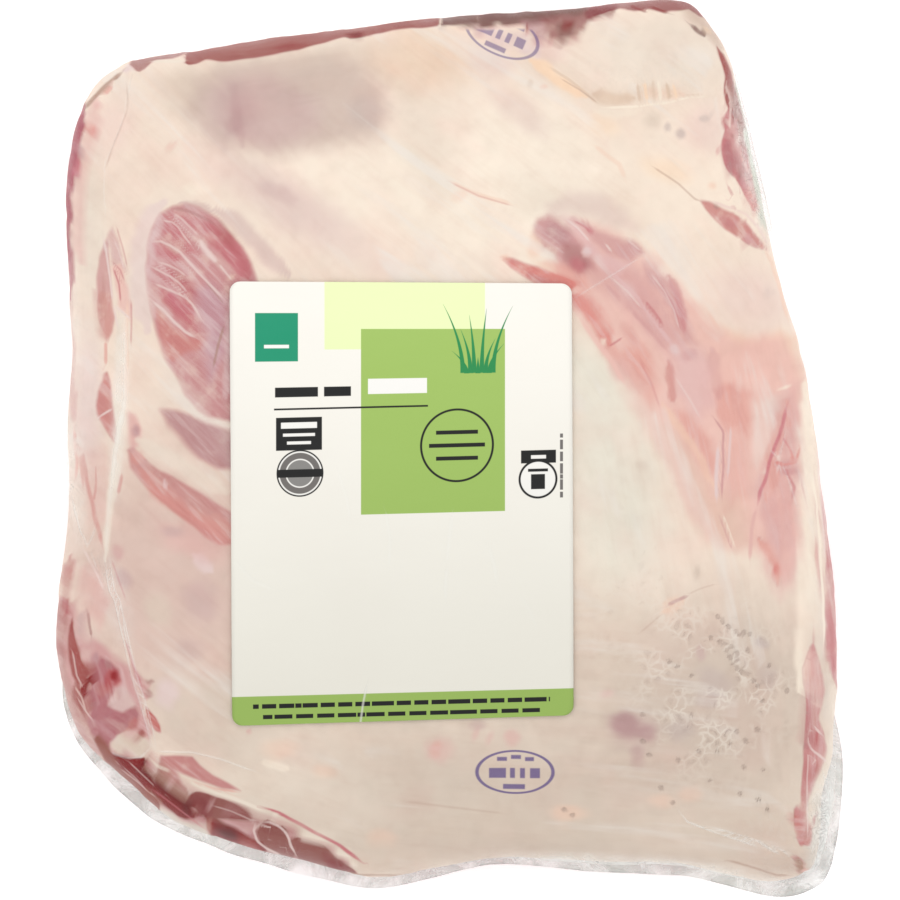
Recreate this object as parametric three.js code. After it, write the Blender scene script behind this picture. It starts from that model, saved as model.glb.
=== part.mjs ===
// A square-cut lamb shoulder, sealed in clear shrink film, with a label on its fat side.
import * as THREE from "three";
import { mergeVertices } from "three/addons/utils/BufferGeometryUtils.js";

// Driving dimensions, in millimetres. The pack lies flat with the fat side up. +Z is up, the label's long
// side runs along Y, and the fold of fat is at the +X +Y corner.
const CROWN_HEIGHT = 57;
const BELLY_HEIGHT = 19;
const LOAF_POWER = 3.6;
const TUCK_POWER = 2.2;
const TUCK = 11;
const TOP_REACH = 0.9;
const LIP_HEIGHT = 4.6;
const LIP_THICKNESS = 1.8;
const LABEL_THICKNESS = 0.5;
const LABEL_GAP = 0.35;
const LABEL_CORNER = 3;

// How fine the facets are
const GRID = 21;
const UPPER_ROWS = 6;
const LOWER_HEIGHTS = [12.5, 8.5];
const FOOT_HEIGHT = 1.2;
const FLOOR_RINGS = [0.78, 0.52, 0.26];
const LABEL_COLUMNS = 16;
const LABEL_ROWS = 20;
const OUTLINE_SAMPLES = 1440;

// Outermost edge seen from above, counterclockwise from the -Y +X corner
const CORNER_KNOTS = [0, 10, 19, 29];
const OUTLINE = [
  [111.4, -121.8], [114.8, -95.7], [113.1, -72.5], [112.5, -40.6], [108.2, -8.7],
  [103.2, 26.1], [96.6, 49.3], [91.4, 72.5], [86.1, 95.7], [81.5, 113.1],
  [76, 123.5], [67.3, 131.1], [43.5, 129.6], [20.3, 127.6], [-2.9, 125.9],
  [-26.1, 123.3], [-49.3, 120.6], [-72.5, 116.3], [-92.8, 113.1],
  [-103.5, 105.3], [-109.6, 91.4], [-111.9, 71], [-111.7, 50.8], [-111.1, 30.5],
  [-112.2, 5.8], [-111.7, -23.2], [-114, -43.5], [-114.6, -63.8], [-112.2, -78.3],
  [-106.7, -89], [-95.7, -100.3], [-84.1, -109.9], [-65.3, -117.5], [-43.5, -123.8],
  [-21.8, -127.9], [-2.9, -124.4], [14.5, -121.5], [40.6, -123.3], [66.7, -124.4],
  [82.7, -127.9], [95.7, -130.5], [105.9, -128.5],
];

// What changes round the edge, as pairs of a direction in degrees from +X and a size in millimetres
const EDGE_HEIGHT = [
  [0, 38], [50, 39], [92, 42], [135, 45], [180, 46], [218, 49], [268, 43], [312, 39],
];
const LIP_REACH = [
  [0, 0], [205, 0], [214, 2.4], [226, 4], [246, 4], [262, 3.6], [275, 3], [292, 4], [308, 6],
  [320, 4], [330, 0],
];

// Swells and hollows of the fat side: centre, half length and half width, turn in degrees, and height
const FORMS = {
  shankMuscle: { x: -75, y: 38, length: 31, width: 14, turn: 100, height: 5.5 },
  flankHollow: { x: -80, y: -12, length: 26, width: 12, turn: 105, height: -4 },
  neckSwell: { x: -72, y: -74, length: 30, width: 20, turn: 60, height: 4 },
  ribBand: { x: 76, y: 0, length: 46, width: 22, turn: 105, height: 4 },
  bladeRidge: { x: 62, y: -74, length: 50, width: 15, turn: 60, height: 4 },
  cornerHollow: { x: 86, y: -108, length: 26, width: 12, turn: -25, height: -3.5 },
  fatShelf: { x: 26, y: 84, length: 50, width: 16, turn: -18, height: 3.5 },
  lowerHollow: { x: 10, y: -104, length: 40, width: 12, turn: 4, height: -3 },
};

// Grooves and ridges of the fat side: the line that each follows, its half width and its height
const CREASES = {
  flapFold: {
    line: [[23, 114], [32, 106], [40, 100], [49, 98.5], [61, 100], [80, 102]],
    width: 5,
    height: -4,
  },
  bandEdge: {
    line: [[26, 68], [43.5, 66.7], [58, 58], [69.6, 40.6], [78, 29], [97, 24.7]],
    width: 6,
    height: -2,
  },
  leftTuck: {
    line: [[-100, 95], [-99, 64], [-95, 20], [-97, -10], [-100, -35]],
    width: 5,
    height: -2.5,
  },
  lowerTuck: {
    line: [[-100, -35], [-96, -58], [-88, -85], [-72, -88], [-54, -93]],
    width: 5,
    height: -2.5,
  },
};

// Corners of the label, counterclockwise from its -X -Y corner
const LABEL_CORNERS = [[-62.3, -79], [35.4, -76], [34.8, 47.6], [-63, 48.2]];

const clamp = THREE.MathUtils.clamp;
const smooth = (value) => THREE.MathUtils.smoothstep(value, 0, 1);
const radians = (turn) => THREE.MathUtils.degToRad(turn);
const degrees = (x, y) => {
  return THREE.MathUtils.euclideanModulo(THREE.MathUtils.radToDeg(Math.atan2(y, x)), 360);
};

// The closed outline curve, cut into four sides of even steps, one for each side of the square grid
const outlineCurve = new THREE.CatmullRomCurve3(
  OUTLINE.map(([x, y]) => new THREE.Vector3(x, y, 0)),
  true,
  "catmullrom",
  0.5,
);
const samples = Array.from({ length: OUTLINE_SAMPLES + 1 }, (_, i) => {
  return outlineCurve.getPoint(i / OUTLINE_SAMPLES);
});
const travelled = samples.reduce((sums, point, i) => {
  sums.push(i === 0 ? 0 : sums[i - 1] + point.distanceTo(samples[i - 1]));
  return sums;
}, []);

function indexAtLength(length) {
  let low = 0;
  let high = OUTLINE_SAMPLES;
  while (high - low > 1) {
    const middle = (low + high) >> 1;
    if (travelled[middle] <= length) low = middle;
    else high = middle;
  }
  return low;
}

const cornerSample = (side) => Math.round((CORNER_KNOTS[side] / OUTLINE.length) * OUTLINE_SAMPLES);
const cornerLengths = [0, 1, 2, 3].map((side) => travelled[cornerSample(side)]);
cornerLengths.push(travelled[OUTLINE_SAMPLES]);

// The outline's point at a place from 0 to 4, where each whole number is a corner
function outlineAt(place) {
  const side = Math.min(3, Math.floor(place));
  const length = THREE.MathUtils.lerp(cornerLengths[side], cornerLengths[side + 1], place - side);
  const index = indexAtLength(length);
  const part = (length - travelled[index]) / (travelled[index + 1] - travelled[index]);
  return samples[index].clone().lerp(samples[index + 1], clamp(part, 0, 1));
}

// The outline's distance from the middle in a direction, by the sample on either side of it
const spokes = samples
  .slice(0, OUTLINE_SAMPLES)
  .map((point) => [degrees(point.x, point.y), Math.hypot(point.x, point.y)])
  .sort((a, b) => a[0] - b[0]);

// A size that changes with direction, eased from each pair to the next
function aroundEdge(pairs, direction) {
  const next = pairs.findIndex(([at]) => at > direction);
  const after = next < 0 ? [pairs[0][0] + 360, pairs[0][1]] : pairs[next];
  const before = pairs[(next < 0 ? pairs.length : next) - 1];
  return before[1] + (after[1] - before[1]) * smooth((direction - before[0]) / (after[0] - before[0]));
}

function reachAt(direction) {
  let low = 0;
  let high = spokes.length - 1;
  while (high - low > 1) {
    const middle = (low + high) >> 1;
    if (spokes[middle][0] <= direction) low = middle;
    else high = middle;
  }
  const span = spokes[high][0] - spokes[low][0];
  const part = span > 0 ? clamp((direction - spokes[low][0]) / span, 0, 1) : 0;
  return THREE.MathUtils.lerp(spokes[low][1], spokes[high][1], part);
}

const wallReach = (direction) => reachAt(direction) - aroundEdge(LIP_REACH, direction);

function distanceToLine(x, y, line) {
  let nearest = Infinity;
  for (let i = 0; i + 1 < line.length; i += 1) {
    const [ax, ay] = line[i];
    const [bx, by] = line[i + 1];
    const along = clamp(
      ((x - ax) * (bx - ax) + (y - ay) * (by - ay)) / ((bx - ax) ** 2 + (by - ay) ** 2),
      0,
      1,
    );
    nearest = Math.min(nearest, Math.hypot(x - ax - along * (bx - ax), y - ay - along * (by - ay)));
  }
  return nearest;
}

function reliefAt(x, y) {
  let height = 0;
  for (const form of Object.values(FORMS)) {
    const turn = radians(form.turn);
    const along = ((x - form.x) * Math.cos(turn) + (y - form.y) * Math.sin(turn)) / form.length;
    const across = ((y - form.y) * Math.cos(turn) - (x - form.x) * Math.sin(turn)) / form.width;
    height += form.height * Math.exp(-(along ** 2) - across ** 2);
  }
  for (const crease of Object.values(CREASES)) {
    const away = distanceToLine(x, y, crease.line) / crease.width;
    height += crease.height * Math.exp(-(away ** 2));
  }
  return height;
}

// Height of the upper surface, at a share of the way from the middle to the widest line
function topHeight(x, y, share, direction) {
  const envelope = THREE.MathUtils.lerp(CROWN_HEIGHT, aroundEdge(EDGE_HEIGHT, direction), share ** 2);
  const rounding = (1 - share ** LOAF_POWER) ** (1 / LOAF_POWER);
  return BELLY_HEIGHT + (envelope + reliefAt(x, y) - BELLY_HEIGHT) * rounding;
}

function topHeightAt(x, y) {
  const direction = degrees(x, y);
  return topHeight(x, y, Math.min(1, Math.hypot(x, y) / wallReach(direction)), direction);
}

function closedMesh(name, positions, triangles, material) {
  const loose = new THREE.BufferGeometry();
  loose.setAttribute("position", new THREE.Float32BufferAttribute(positions, 3));
  loose.setIndex(triangles);
  const geometry = mergeVertices(loose, 1e-4);
  geometry.computeVertexNormals();
  const mesh = new THREE.Mesh(geometry, material);
  mesh.name = name;
  return mesh;
}

// A place from 0 to 4 round the square ring through a grid point
function placeOnRing(i, j) {
  const ring = Math.max(Math.abs(i), Math.abs(j));
  if (ring === 0) return 0;
  if (i === ring && j < ring) return (j / ring + 1) / 2;
  if (j === ring && i > -ring) return 1 + (1 - i / ring) / 2;
  if (i === -ring && j > -ring) return 2 + (1 - j / ring) / 2;
  return 3 + (i / ring + 1) / 2;
}

// The sealed shoulder: a square grid over the top, rings down the side and a flat underside
function packedShoulder() {
  const positions = [];
  const triangles = [];
  const width = 2 * GRID + 1;
  const gridIndex = (i, j) => (i + GRID) * width + j + GRID;
  for (let i = -GRID; i <= GRID; i += 1) {
    for (let j = -GRID; j <= GRID; j += 1) {
      const share = (TOP_REACH * Math.max(Math.abs(i), Math.abs(j))) / GRID;
      const edge = outlineAt(placeOnRing(i, j));
      const direction = degrees(edge.x, edge.y);
      const reach = share * wallReach(direction);
      const x = reach * Math.cos(radians(direction));
      const y = reach * Math.sin(radians(direction));
      positions.push(x, y, topHeight(x, y, share, direction));
    }
  }
  for (let i = -GRID; i < GRID; i += 1) {
    for (let j = -GRID; j < GRID; j += 1) {
      const [a, b] = [gridIndex(i, j), gridIndex(i + 1, j)];
      const [c, d] = [gridIndex(i + 1, j + 1), gridIndex(i, j + 1)];
      triangles.push(a, b, c, a, c, d);
    }
  }

  const count = 8 * GRID;
  const rim = Array.from({ length: count }, (_, k) => {
    const side = Math.floor(k / (2 * GRID));
    const step = (k % (2 * GRID)) - GRID;
    return [
      gridIndex(GRID, step),
      gridIndex(-step, GRID),
      gridIndex(-GRID, -step),
      gridIndex(step, -GRID),
    ][side];
  });
  const directions = rim.map((_, k) => {
    const edge = outlineAt((4 * k) / count);
    return degrees(edge.x, edge.y);
  });

  let above = rim;
  function addRing(reachOf, heightOf) {
    const first = positions.length / 3;
    for (const direction of directions) {
      const reach = reachOf(direction);
      const x = reach * Math.cos(radians(direction));
      const y = reach * Math.sin(radians(direction));
      positions.push(x, y, heightOf(x, y, direction));
    }
    const ring = directions.map((_, k) => first + k);
    for (let k = 0; k < count; k += 1) {
      const next = (k + 1) % count;
      triangles.push(above[k], ring[k], ring[next], above[k], ring[next], above[next]);
    }
    above = ring;
  }

  const rimRounding = (1 - TOP_REACH ** LOAF_POWER) ** (1 / LOAF_POWER);
  for (let row = 1; row <= UPPER_ROWS; row += 1) {
    const rounding = rimRounding * (1 - row / UPPER_ROWS);
    const share = (1 - rounding ** LOAF_POWER) ** (1 / LOAF_POWER);
    addRing(
      (direction) => share * wallReach(direction),
      (x, y, direction) => topHeight(x, y, share, direction),
    );
  }

  const tuckAt = (z) => TUCK * (1 - (1 - (1 - z / BELLY_HEIGHT) ** TUCK_POWER) ** (1 / TUCK_POWER));
  const addLowerRing = (z) => addRing((direction) => wallReach(direction) - tuckAt(z), () => z);
  LOWER_HEIGHTS.forEach(addLowerRing);
  addLowerRing(LIP_HEIGHT + LIP_THICKNESS / 2);
  addRing(
    (direction) => {
      const lip = aroundEdge(LIP_REACH, direction);
      return wallReach(direction) + lip - tuckAt(LIP_HEIGHT) * (1 - smooth(lip / 3));
    },
    () => LIP_HEIGHT,
  );
  addLowerRing(LIP_HEIGHT - LIP_THICKNESS / 2);
  addLowerRing(FOOT_HEIGHT);
  addLowerRing(0);
  for (const share of FLOOR_RINGS) {
    addRing((direction) => share * (wallReach(direction) - TUCK), () => 0);
  }
  const middle = positions.length / 3;
  positions.push(0, 0, 0);
  for (let k = 0; k < count; k += 1) {
    triangles.push(above[k], middle, above[(k + 1) % count]);
  }

  const film = new THREE.MeshStandardMaterial({ color: 0xe8d2c6, roughness: 0.3, metalness: 0 });
  return closedMesh("packed_shoulder", positions, triangles, film);
}

// The label: rows from its +Y end to its -Y end, drawn in at the round corners, and bent over the meat
function label() {
  const corners = LABEL_CORNERS.map(([x, y]) => new THREE.Vector2(x, y));
  const [bottomLeft, bottomRight, topRight, topLeft] = corners;
  const width = bottomLeft.distanceTo(bottomRight);
  const height = bottomLeft.distanceTo(topLeft);
  const cornerSteps = [0, 0.13, 0.5, 1].map((part) => (part * LABEL_CORNER) / height);
  const middleSteps = Array.from({ length: LABEL_ROWS - 1 }, (_, i) => {
    return THREE.MathUtils.lerp(cornerSteps[3], 1 - cornerSteps[3], (i + 1) / LABEL_ROWS);
  });
  const rows = [...cornerSteps, ...middleSteps, ...cornerSteps.map((step) => 1 - step).reverse()];

  const positions = [];
  const triangles = [];
  const across = LABEL_COLUMNS + 1;
  for (const rise of [LABEL_GAP + LABEL_THICKNESS, LABEL_GAP]) {
    for (const row of rows) {
      const fromEnd = Math.min(row, 1 - row) * height;
      const short = Math.max(0, LABEL_CORNER - fromEnd);
      const drawnIn = (LABEL_CORNER - Math.sqrt(LABEL_CORNER ** 2 - short ** 2)) / width;
      for (let column = 0; column < across; column += 1) {
        const part = THREE.MathUtils.lerp(drawnIn, 1 - drawnIn, column / LABEL_COLUMNS);
        const end = topLeft.clone().lerp(topRight, part);
        const point = end.lerp(bottomLeft.clone().lerp(bottomRight, part), row);
        positions.push(point.x, point.y, topHeightAt(point.x, point.y) + rise);
      }
    }
  }
  const lower = rows.length * across;
  const at = (row, column) => row * across + column;
  for (let row = 0; row + 1 < rows.length; row += 1) {
    for (let column = 0; column < LABEL_COLUMNS; column += 1) {
      const [a, b] = [at(row, column), at(row, column + 1)];
      const [c, d] = [at(row + 1, column + 1), at(row + 1, column)];
      triangles.push(a, d, c, a, c, b);
      triangles.push(lower + a, lower + c, lower + d, lower + a, lower + b, lower + c);
    }
  }
  const wall = (a, b) => triangles.push(a, b, lower + b, a, lower + b, lower + a);
  for (let row = 0; row + 1 < rows.length; row += 1) {
    wall(at(row + 1, 0), at(row, 0));
    wall(at(row, LABEL_COLUMNS), at(row + 1, LABEL_COLUMNS));
  }
  for (let column = 0; column < LABEL_COLUMNS; column += 1) {
    wall(at(0, column), at(0, column + 1));
    wall(at(rows.length - 1, column + 1), at(rows.length - 1, column));
  }

  const paper = new THREE.MeshStandardMaterial({ color: 0xf6f2ea, roughness: 0.45, metalness: 0 });
  return closedMesh("label", positions, triangles, paper);
}

// The origin is under the middle of the pack's box
const shoulder = packedShoulder();
const sheet = label();
shoulder.geometry.computeBoundingBox();
const middle = shoulder.geometry.boundingBox.getCenter(new THREE.Vector3());
const pack = new THREE.Group();
for (const mesh of [shoulder, sheet]) {
  mesh.geometry.translate(-middle.x, -middle.y, 0);
  pack.add(mesh);
}

export default pack;
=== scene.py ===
"""A raw lamb shoulder in clear shrink film, with a label on top, seen from straight above."""
import math

import bpy
import numpy as np
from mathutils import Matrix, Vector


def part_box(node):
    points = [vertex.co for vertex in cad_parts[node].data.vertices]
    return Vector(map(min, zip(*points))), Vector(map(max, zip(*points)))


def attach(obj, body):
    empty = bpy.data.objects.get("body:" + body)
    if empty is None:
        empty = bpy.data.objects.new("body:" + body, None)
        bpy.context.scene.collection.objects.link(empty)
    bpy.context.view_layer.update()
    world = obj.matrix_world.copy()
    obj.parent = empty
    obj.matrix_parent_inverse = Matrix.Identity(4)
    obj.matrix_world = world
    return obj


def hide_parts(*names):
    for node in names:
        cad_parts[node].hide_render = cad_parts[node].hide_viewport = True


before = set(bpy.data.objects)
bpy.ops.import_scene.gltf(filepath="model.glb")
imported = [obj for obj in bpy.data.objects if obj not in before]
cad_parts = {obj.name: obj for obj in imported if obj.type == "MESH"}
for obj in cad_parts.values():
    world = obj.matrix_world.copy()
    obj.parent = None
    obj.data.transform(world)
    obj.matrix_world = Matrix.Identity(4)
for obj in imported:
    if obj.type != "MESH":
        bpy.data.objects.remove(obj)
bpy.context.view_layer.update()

# The photograph's frame: its middle in pixels, the size of a pixel at the widest line, and the camera's
# height. Marks on the meat and the label are placed by pixel, and PIXEL turns them into metres.
PHOTO_MIDDLE = 450
PIXEL = 0.00029
CAMERA_HEIGHT = 2.5
SENSOR_WIDTH = 36

# The form of the pack, as in the solid: heights and reaches in metres, directions in degrees from +X
CROWN_HEIGHT = 0.057
BELLY_HEIGHT = 0.019
LOAF_POWER = 3.6
TUCK_POWER = 2.2
TUCK = 0.011
TOP_REACH = 0.9
LIP_HEIGHT = 0.0046
LABEL_GAP = 0.00035
LABEL_CORNER = 0.003
EDGE_HEIGHT = [(0, 38), (50, 39), (92, 42), (135, 45), (180, 46), (218, 49), (268, 43), (312, 39)]
LIP_REACH = [(0, 0), (205, 0), (214, 2.4), (226, 4), (246, 4), (262, 3.6), (275, 3), (292, 4), (308, 6),
             (320, 4), (330, 0)]
FORMS = {
    "shank_muscle": (-75, 38, 31, 14, 100, 5.5),
    "flank_hollow": (-80, -12, 26, 12, 105, -4),
    "neck_swell": (-72, -74, 30, 20, 60, 4),
    "rib_band": (76, 0, 46, 22, 105, 4),
    "blade_ridge": (62, -74, 50, 15, 60, 4),
    "corner_hollow": (86, -108, 26, 12, -25, -3.5),
    "fat_shelf": (26, 84, 50, 16, -18, 3.5),
    "lower_hollow": (10, -104, 40, 12, 4, -3),
}
CREASES = {
    "flap_fold": ("23,114 32,106 40,100 49,98.5 61,100 80,102", 5, -4),
    "band_edge": ("26,68 43.5,66.7 58,58 69.6,40.6 78,29 97,24.7", 6, -2),
    "left_tuck": ("-100,95 -99,64 -95,20 -97,-10 -100,-35", 5, -2.5),
    "lower_tuck": ("-100,-35 -96,-58 -88,-85 -72,-88 -54,-93", 5, -2.5),
}
LABEL_CORNERS = "-62.3,-79 35.4,-76 34.8,47.6 -63,48.2"

# The place of the widest line's first point, and about how long that line is, in millimetres
FIRST_CORNER = (0.1114, -0.1218)
EDGE_LENGTH = 870

# How far the meat stays inside the film: all over, in metres, and at the side by direction, in millimetres
MEAT_DEPTH = 0.0006
MEAT_INSET = [(0, 0.5), (25, 0.7), (34, 0.8), (43, 0.8), (50, 0.6), (57, 0.5), (70, 0.25), (150, 0.25),
              (165, 1.5), (185, 1.5), (196, 0.5), (206, 0.25), (296, 0.25), (311, 1), (317, 4), (322, 1),
              (330, 0.6)]

# The faces of each skin from the middle of the top outwards, and its rows from there to the widest line
MEAT_GRID = 133
MEAT_ROWS = 11
FILM_GRID = 100
FILM_ROWS = 12

# Heights of the rings below the widest line, and how far out those of the underside are, as a share. Over the
# fade the top's marks give way to the side's. What lies under the widest line takes its place in the
# photograph from just inside that line.
SIDE_RINGS = (0.0165, 0.014, 0.0115, 0.009)
MEAT_RINGS = (0.0068, 0.0048, 0.003, 0.0016)
MEAT_LAST_RING = 0.0008
MEAT_FLOOR = (0.86, 0.7, 0.5, 0.25)
FILM_RING = 0.007
FILM_LOW_RINGS = (0.003, 0.0012, 0)
FILM_FLOOR = (0.75, 0.45)
SIDE_FADE = 0.004
JUST_INSIDE = 0.985

# The film's lip: its steps outwards, its half thickness, how far it waves, how ragged its tip is and the
# least that it stands out, in metres
LIP_STEPS = (0, 0.3, 0.6, 0.85)
LIP_HALF = 0.00016
LIP_WAVE = 0.0012
LIP_RAGGED = 0.0007
LIP_LEAST = 0.0005

# Relief in metres: the meat's swells, how deep its pits, creases and lean are, and how far film crinkles
SWELL = 0.00022
SMALL_SWELL = 0.00012
PIT_DEPTH = 0.00035
CREASE_DEPTH = 0.0004
LEAN_DEPTH = 0.0003
CRINKLE_HEIGHT = 0.00014

# The label's mesh: its faces across and down, its half thickness, how far it is above its solid's foot, and
# how high its waves and creases are
LABEL_COLUMNS = 64
LABEL_ROWS = 84
LABEL_HALF = 0.00014
LABEL_LIFT = 0.0002
LABEL_WAVE = 0.00012
LABEL_CREASE = 0.0002

# The studio: the floor's half size, height and glow, and each lamp's place, size and power
FLOOR_REACH = 4
FLOOR_HEIGHT = -0.0005
FLOOR_GLOW = 0.35
LAMPS = {"key": ((-0.3, 0.9, 2.2), 2.2, 9), "glint": ((0.5, 0.9, 1.7), 0.3, 1.2)}


def points(text):
    """The points of a line written as x,y pairs."""
    return np.array([[float(value) for value in pair.split(",")] for pair in text.split()])


def smooth(value):
    value = np.clip(value, 0, 1)
    return value * value * (3 - 2 * value)


def blend(a, b, share):
    return a + (b - a) * share


def around_edge(pairs, direction):
    """A size in millimetres that changes with direction, in metres."""
    turns, sizes = (np.array(column, float) for column in zip(*pairs))
    turns = np.append(turns, turns[0] + 360)
    sizes = np.append(sizes, sizes[0])
    at = np.clip(np.searchsorted(turns, direction, side="right") - 1, 0, len(pairs) - 1)
    share = smooth((direction - turns[at]) / (turns[at + 1] - turns[at]))
    return blend(sizes[at], sizes[at + 1], share) / 1000


def line_place(spots, line):
    """Distance from each spot to a line, positive on its left, and how far along the line that is, 0 to 1."""
    steps = np.diff(line, axis=0)
    lengths = np.hypot(*steps.T)
    starts = np.concatenate([[0], np.cumsum(lengths)])
    best = np.full(len(spots), np.inf)
    signed = np.zeros(len(spots))
    along = np.zeros(len(spots))
    for a, step, length, start in zip(line[:-1], steps, lengths, starts):
        away = spots - a
        part = np.clip(away @ step / length**2, 0, 1)
        gap = np.hypot(*(away - part[:, None] * step).T)
        side = np.where(step[0] * away[:, 1] - step[1] * away[:, 0] < 0, -1, 1)
        nearer = gap < best
        best = np.where(nearer, gap, best)
        signed = np.where(nearer, side * gap, signed)
        along = np.where(nearer, (start + part * length) / starts[-1], along)
    return signed, along


def inside_by(spots, outline):
    """How far each spot lies inside a closed outline, negative outside it."""
    closed = np.vstack([outline, outline[:1]])
    gap = np.abs(line_place(spots, closed)[0])
    x, y = spots.T
    inside = np.zeros(len(spots), bool)
    for (ax, ay), (bx, by) in zip(closed[:-1], closed[1:]):
        if ay != by:
            inside ^= ((ay > y) != (by > y)) & (x < (bx - ax) * (y - ay) / (by - ay) + ax)
    return np.where(inside, gap, -gap)


def noise(spots, size, seed):
    """Smooth noise from -1 to 1 on a lattice of that size."""
    values = np.random.default_rng(seed).uniform(-1, 1, (256, 256))
    lattice = spots / size
    cell = np.floor(lattice).astype(int)
    part = lattice - cell
    part = part**3 * (part * (part * 6 - 15) + 10)
    x0, y0 = cell.T % 256
    x1, y1 = (cell.T + 1) % 256
    low = blend(values[x0, y0], values[x1, y0], part[:, 0])
    high = blend(values[x0, y1], values[x1, y1], part[:, 0])
    return blend(low, high, part[:, 1])


def layered_noise(spots, size, seed, layers=4):
    total = np.zeros(len(spots))
    for layer in range(layers):
        total += noise(spots, size / 2**layer, seed + layer) / 2**layer
    return total / 1.5


# The widest line of the solid, which every piece follows, and how far the solid was moved to centre its box
label_low, label_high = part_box("label")
label_x, label_y = points(LABEL_CORNERS).T / 1000
SHIFT = np.array([label_low.x - label_x.min(), label_high.y - label_y.max()])


def widest_line():
    """The solid's ring at its widest height, counterclockwise from its -Y +X corner."""
    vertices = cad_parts["packed_shoulder"].data.vertices
    spots = {(round(v.co.x, 5), round(v.co.y, 5)) for v in vertices if abs(v.co.z - BELLY_HEIGHT) < 1e-5}
    ring = np.array(list(spots)) - SHIFT
    ring = ring[np.argsort(np.arctan2(ring[:, 1], ring[:, 0]))]
    first = np.argmin(np.hypot(*(ring - FIRST_CORNER).T))
    return np.roll(ring, -first, axis=0)


WALL = widest_line()


def wall_at(place):
    """Points of the widest line, eased between the ring's own points. place goes round once from 0 to 1."""
    index = place * len(WALL)
    first = np.floor(index).astype(int)
    t = (index - first)[:, None]
    a, b, c, d = (WALL[(first + step) % len(WALL)] for step in (-1, 0, 1, 2))
    return 0.5 * (2 * b + (c - a) * t + (2 * a - 5 * b + 4 * c - d) * t**2 + (3 * b - a - 3 * c + d) * t**3)


def directions(spots):
    return np.degrees(np.arctan2(spots[:, 1], spots[:, 0])) % 360


SPOKES = wall_at(np.arange(1440) / 1440)
SPOKES = SPOKES[np.argsort(directions(SPOKES))]


def wall_reach(direction):
    return np.interp(direction, directions(SPOKES), np.hypot(*SPOKES.T), period=360)


def relief(spots):
    """Swells, hollows and creases of the fat side."""
    spots = spots * 1000
    height = np.zeros(len(spots))
    for x, y, length, width, turn, rise in FORMS.values():
        c, s = math.cos(math.radians(turn)), math.sin(math.radians(turn))
        dx, dy = spots[:, 0] - x, spots[:, 1] - y
        height += rise * np.exp(-(((dx * c + dy * s) / length) ** 2) - ((dy * c - dx * s) / width) ** 2)
    for line, width, rise in CREASES.values():
        away = line_place(spots, points(line))[0]
        height += rise * np.exp(-((away / width) ** 2))
    return height / 1000


def top_height(spots, share, direction):
    envelope = blend(CROWN_HEIGHT, around_edge(EDGE_HEIGHT, direction), share**2)
    rounding = np.clip(1 - share**LOAF_POWER, 0, 1) ** (1 / LOAF_POWER)
    return BELLY_HEIGHT + (envelope + relief(spots) - BELLY_HEIGHT) * rounding


def top_height_at(spots):
    direction = directions(spots)
    share = np.minimum(1, np.hypot(*spots.T) / wall_reach(direction))
    return top_height(spots, share, direction)


def tuck_at(z):
    """How far the side draws in below the widest line."""
    return TUCK * (1 - (1 - (1 - z / BELLY_HEIGHT) ** TUCK_POWER) ** (1 / TUCK_POWER))


def side_at(z):
    """0 at the widest line, rising to 1 over the fade below it."""
    return smooth((BELLY_HEIGHT - z) / SIDE_FADE)


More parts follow.
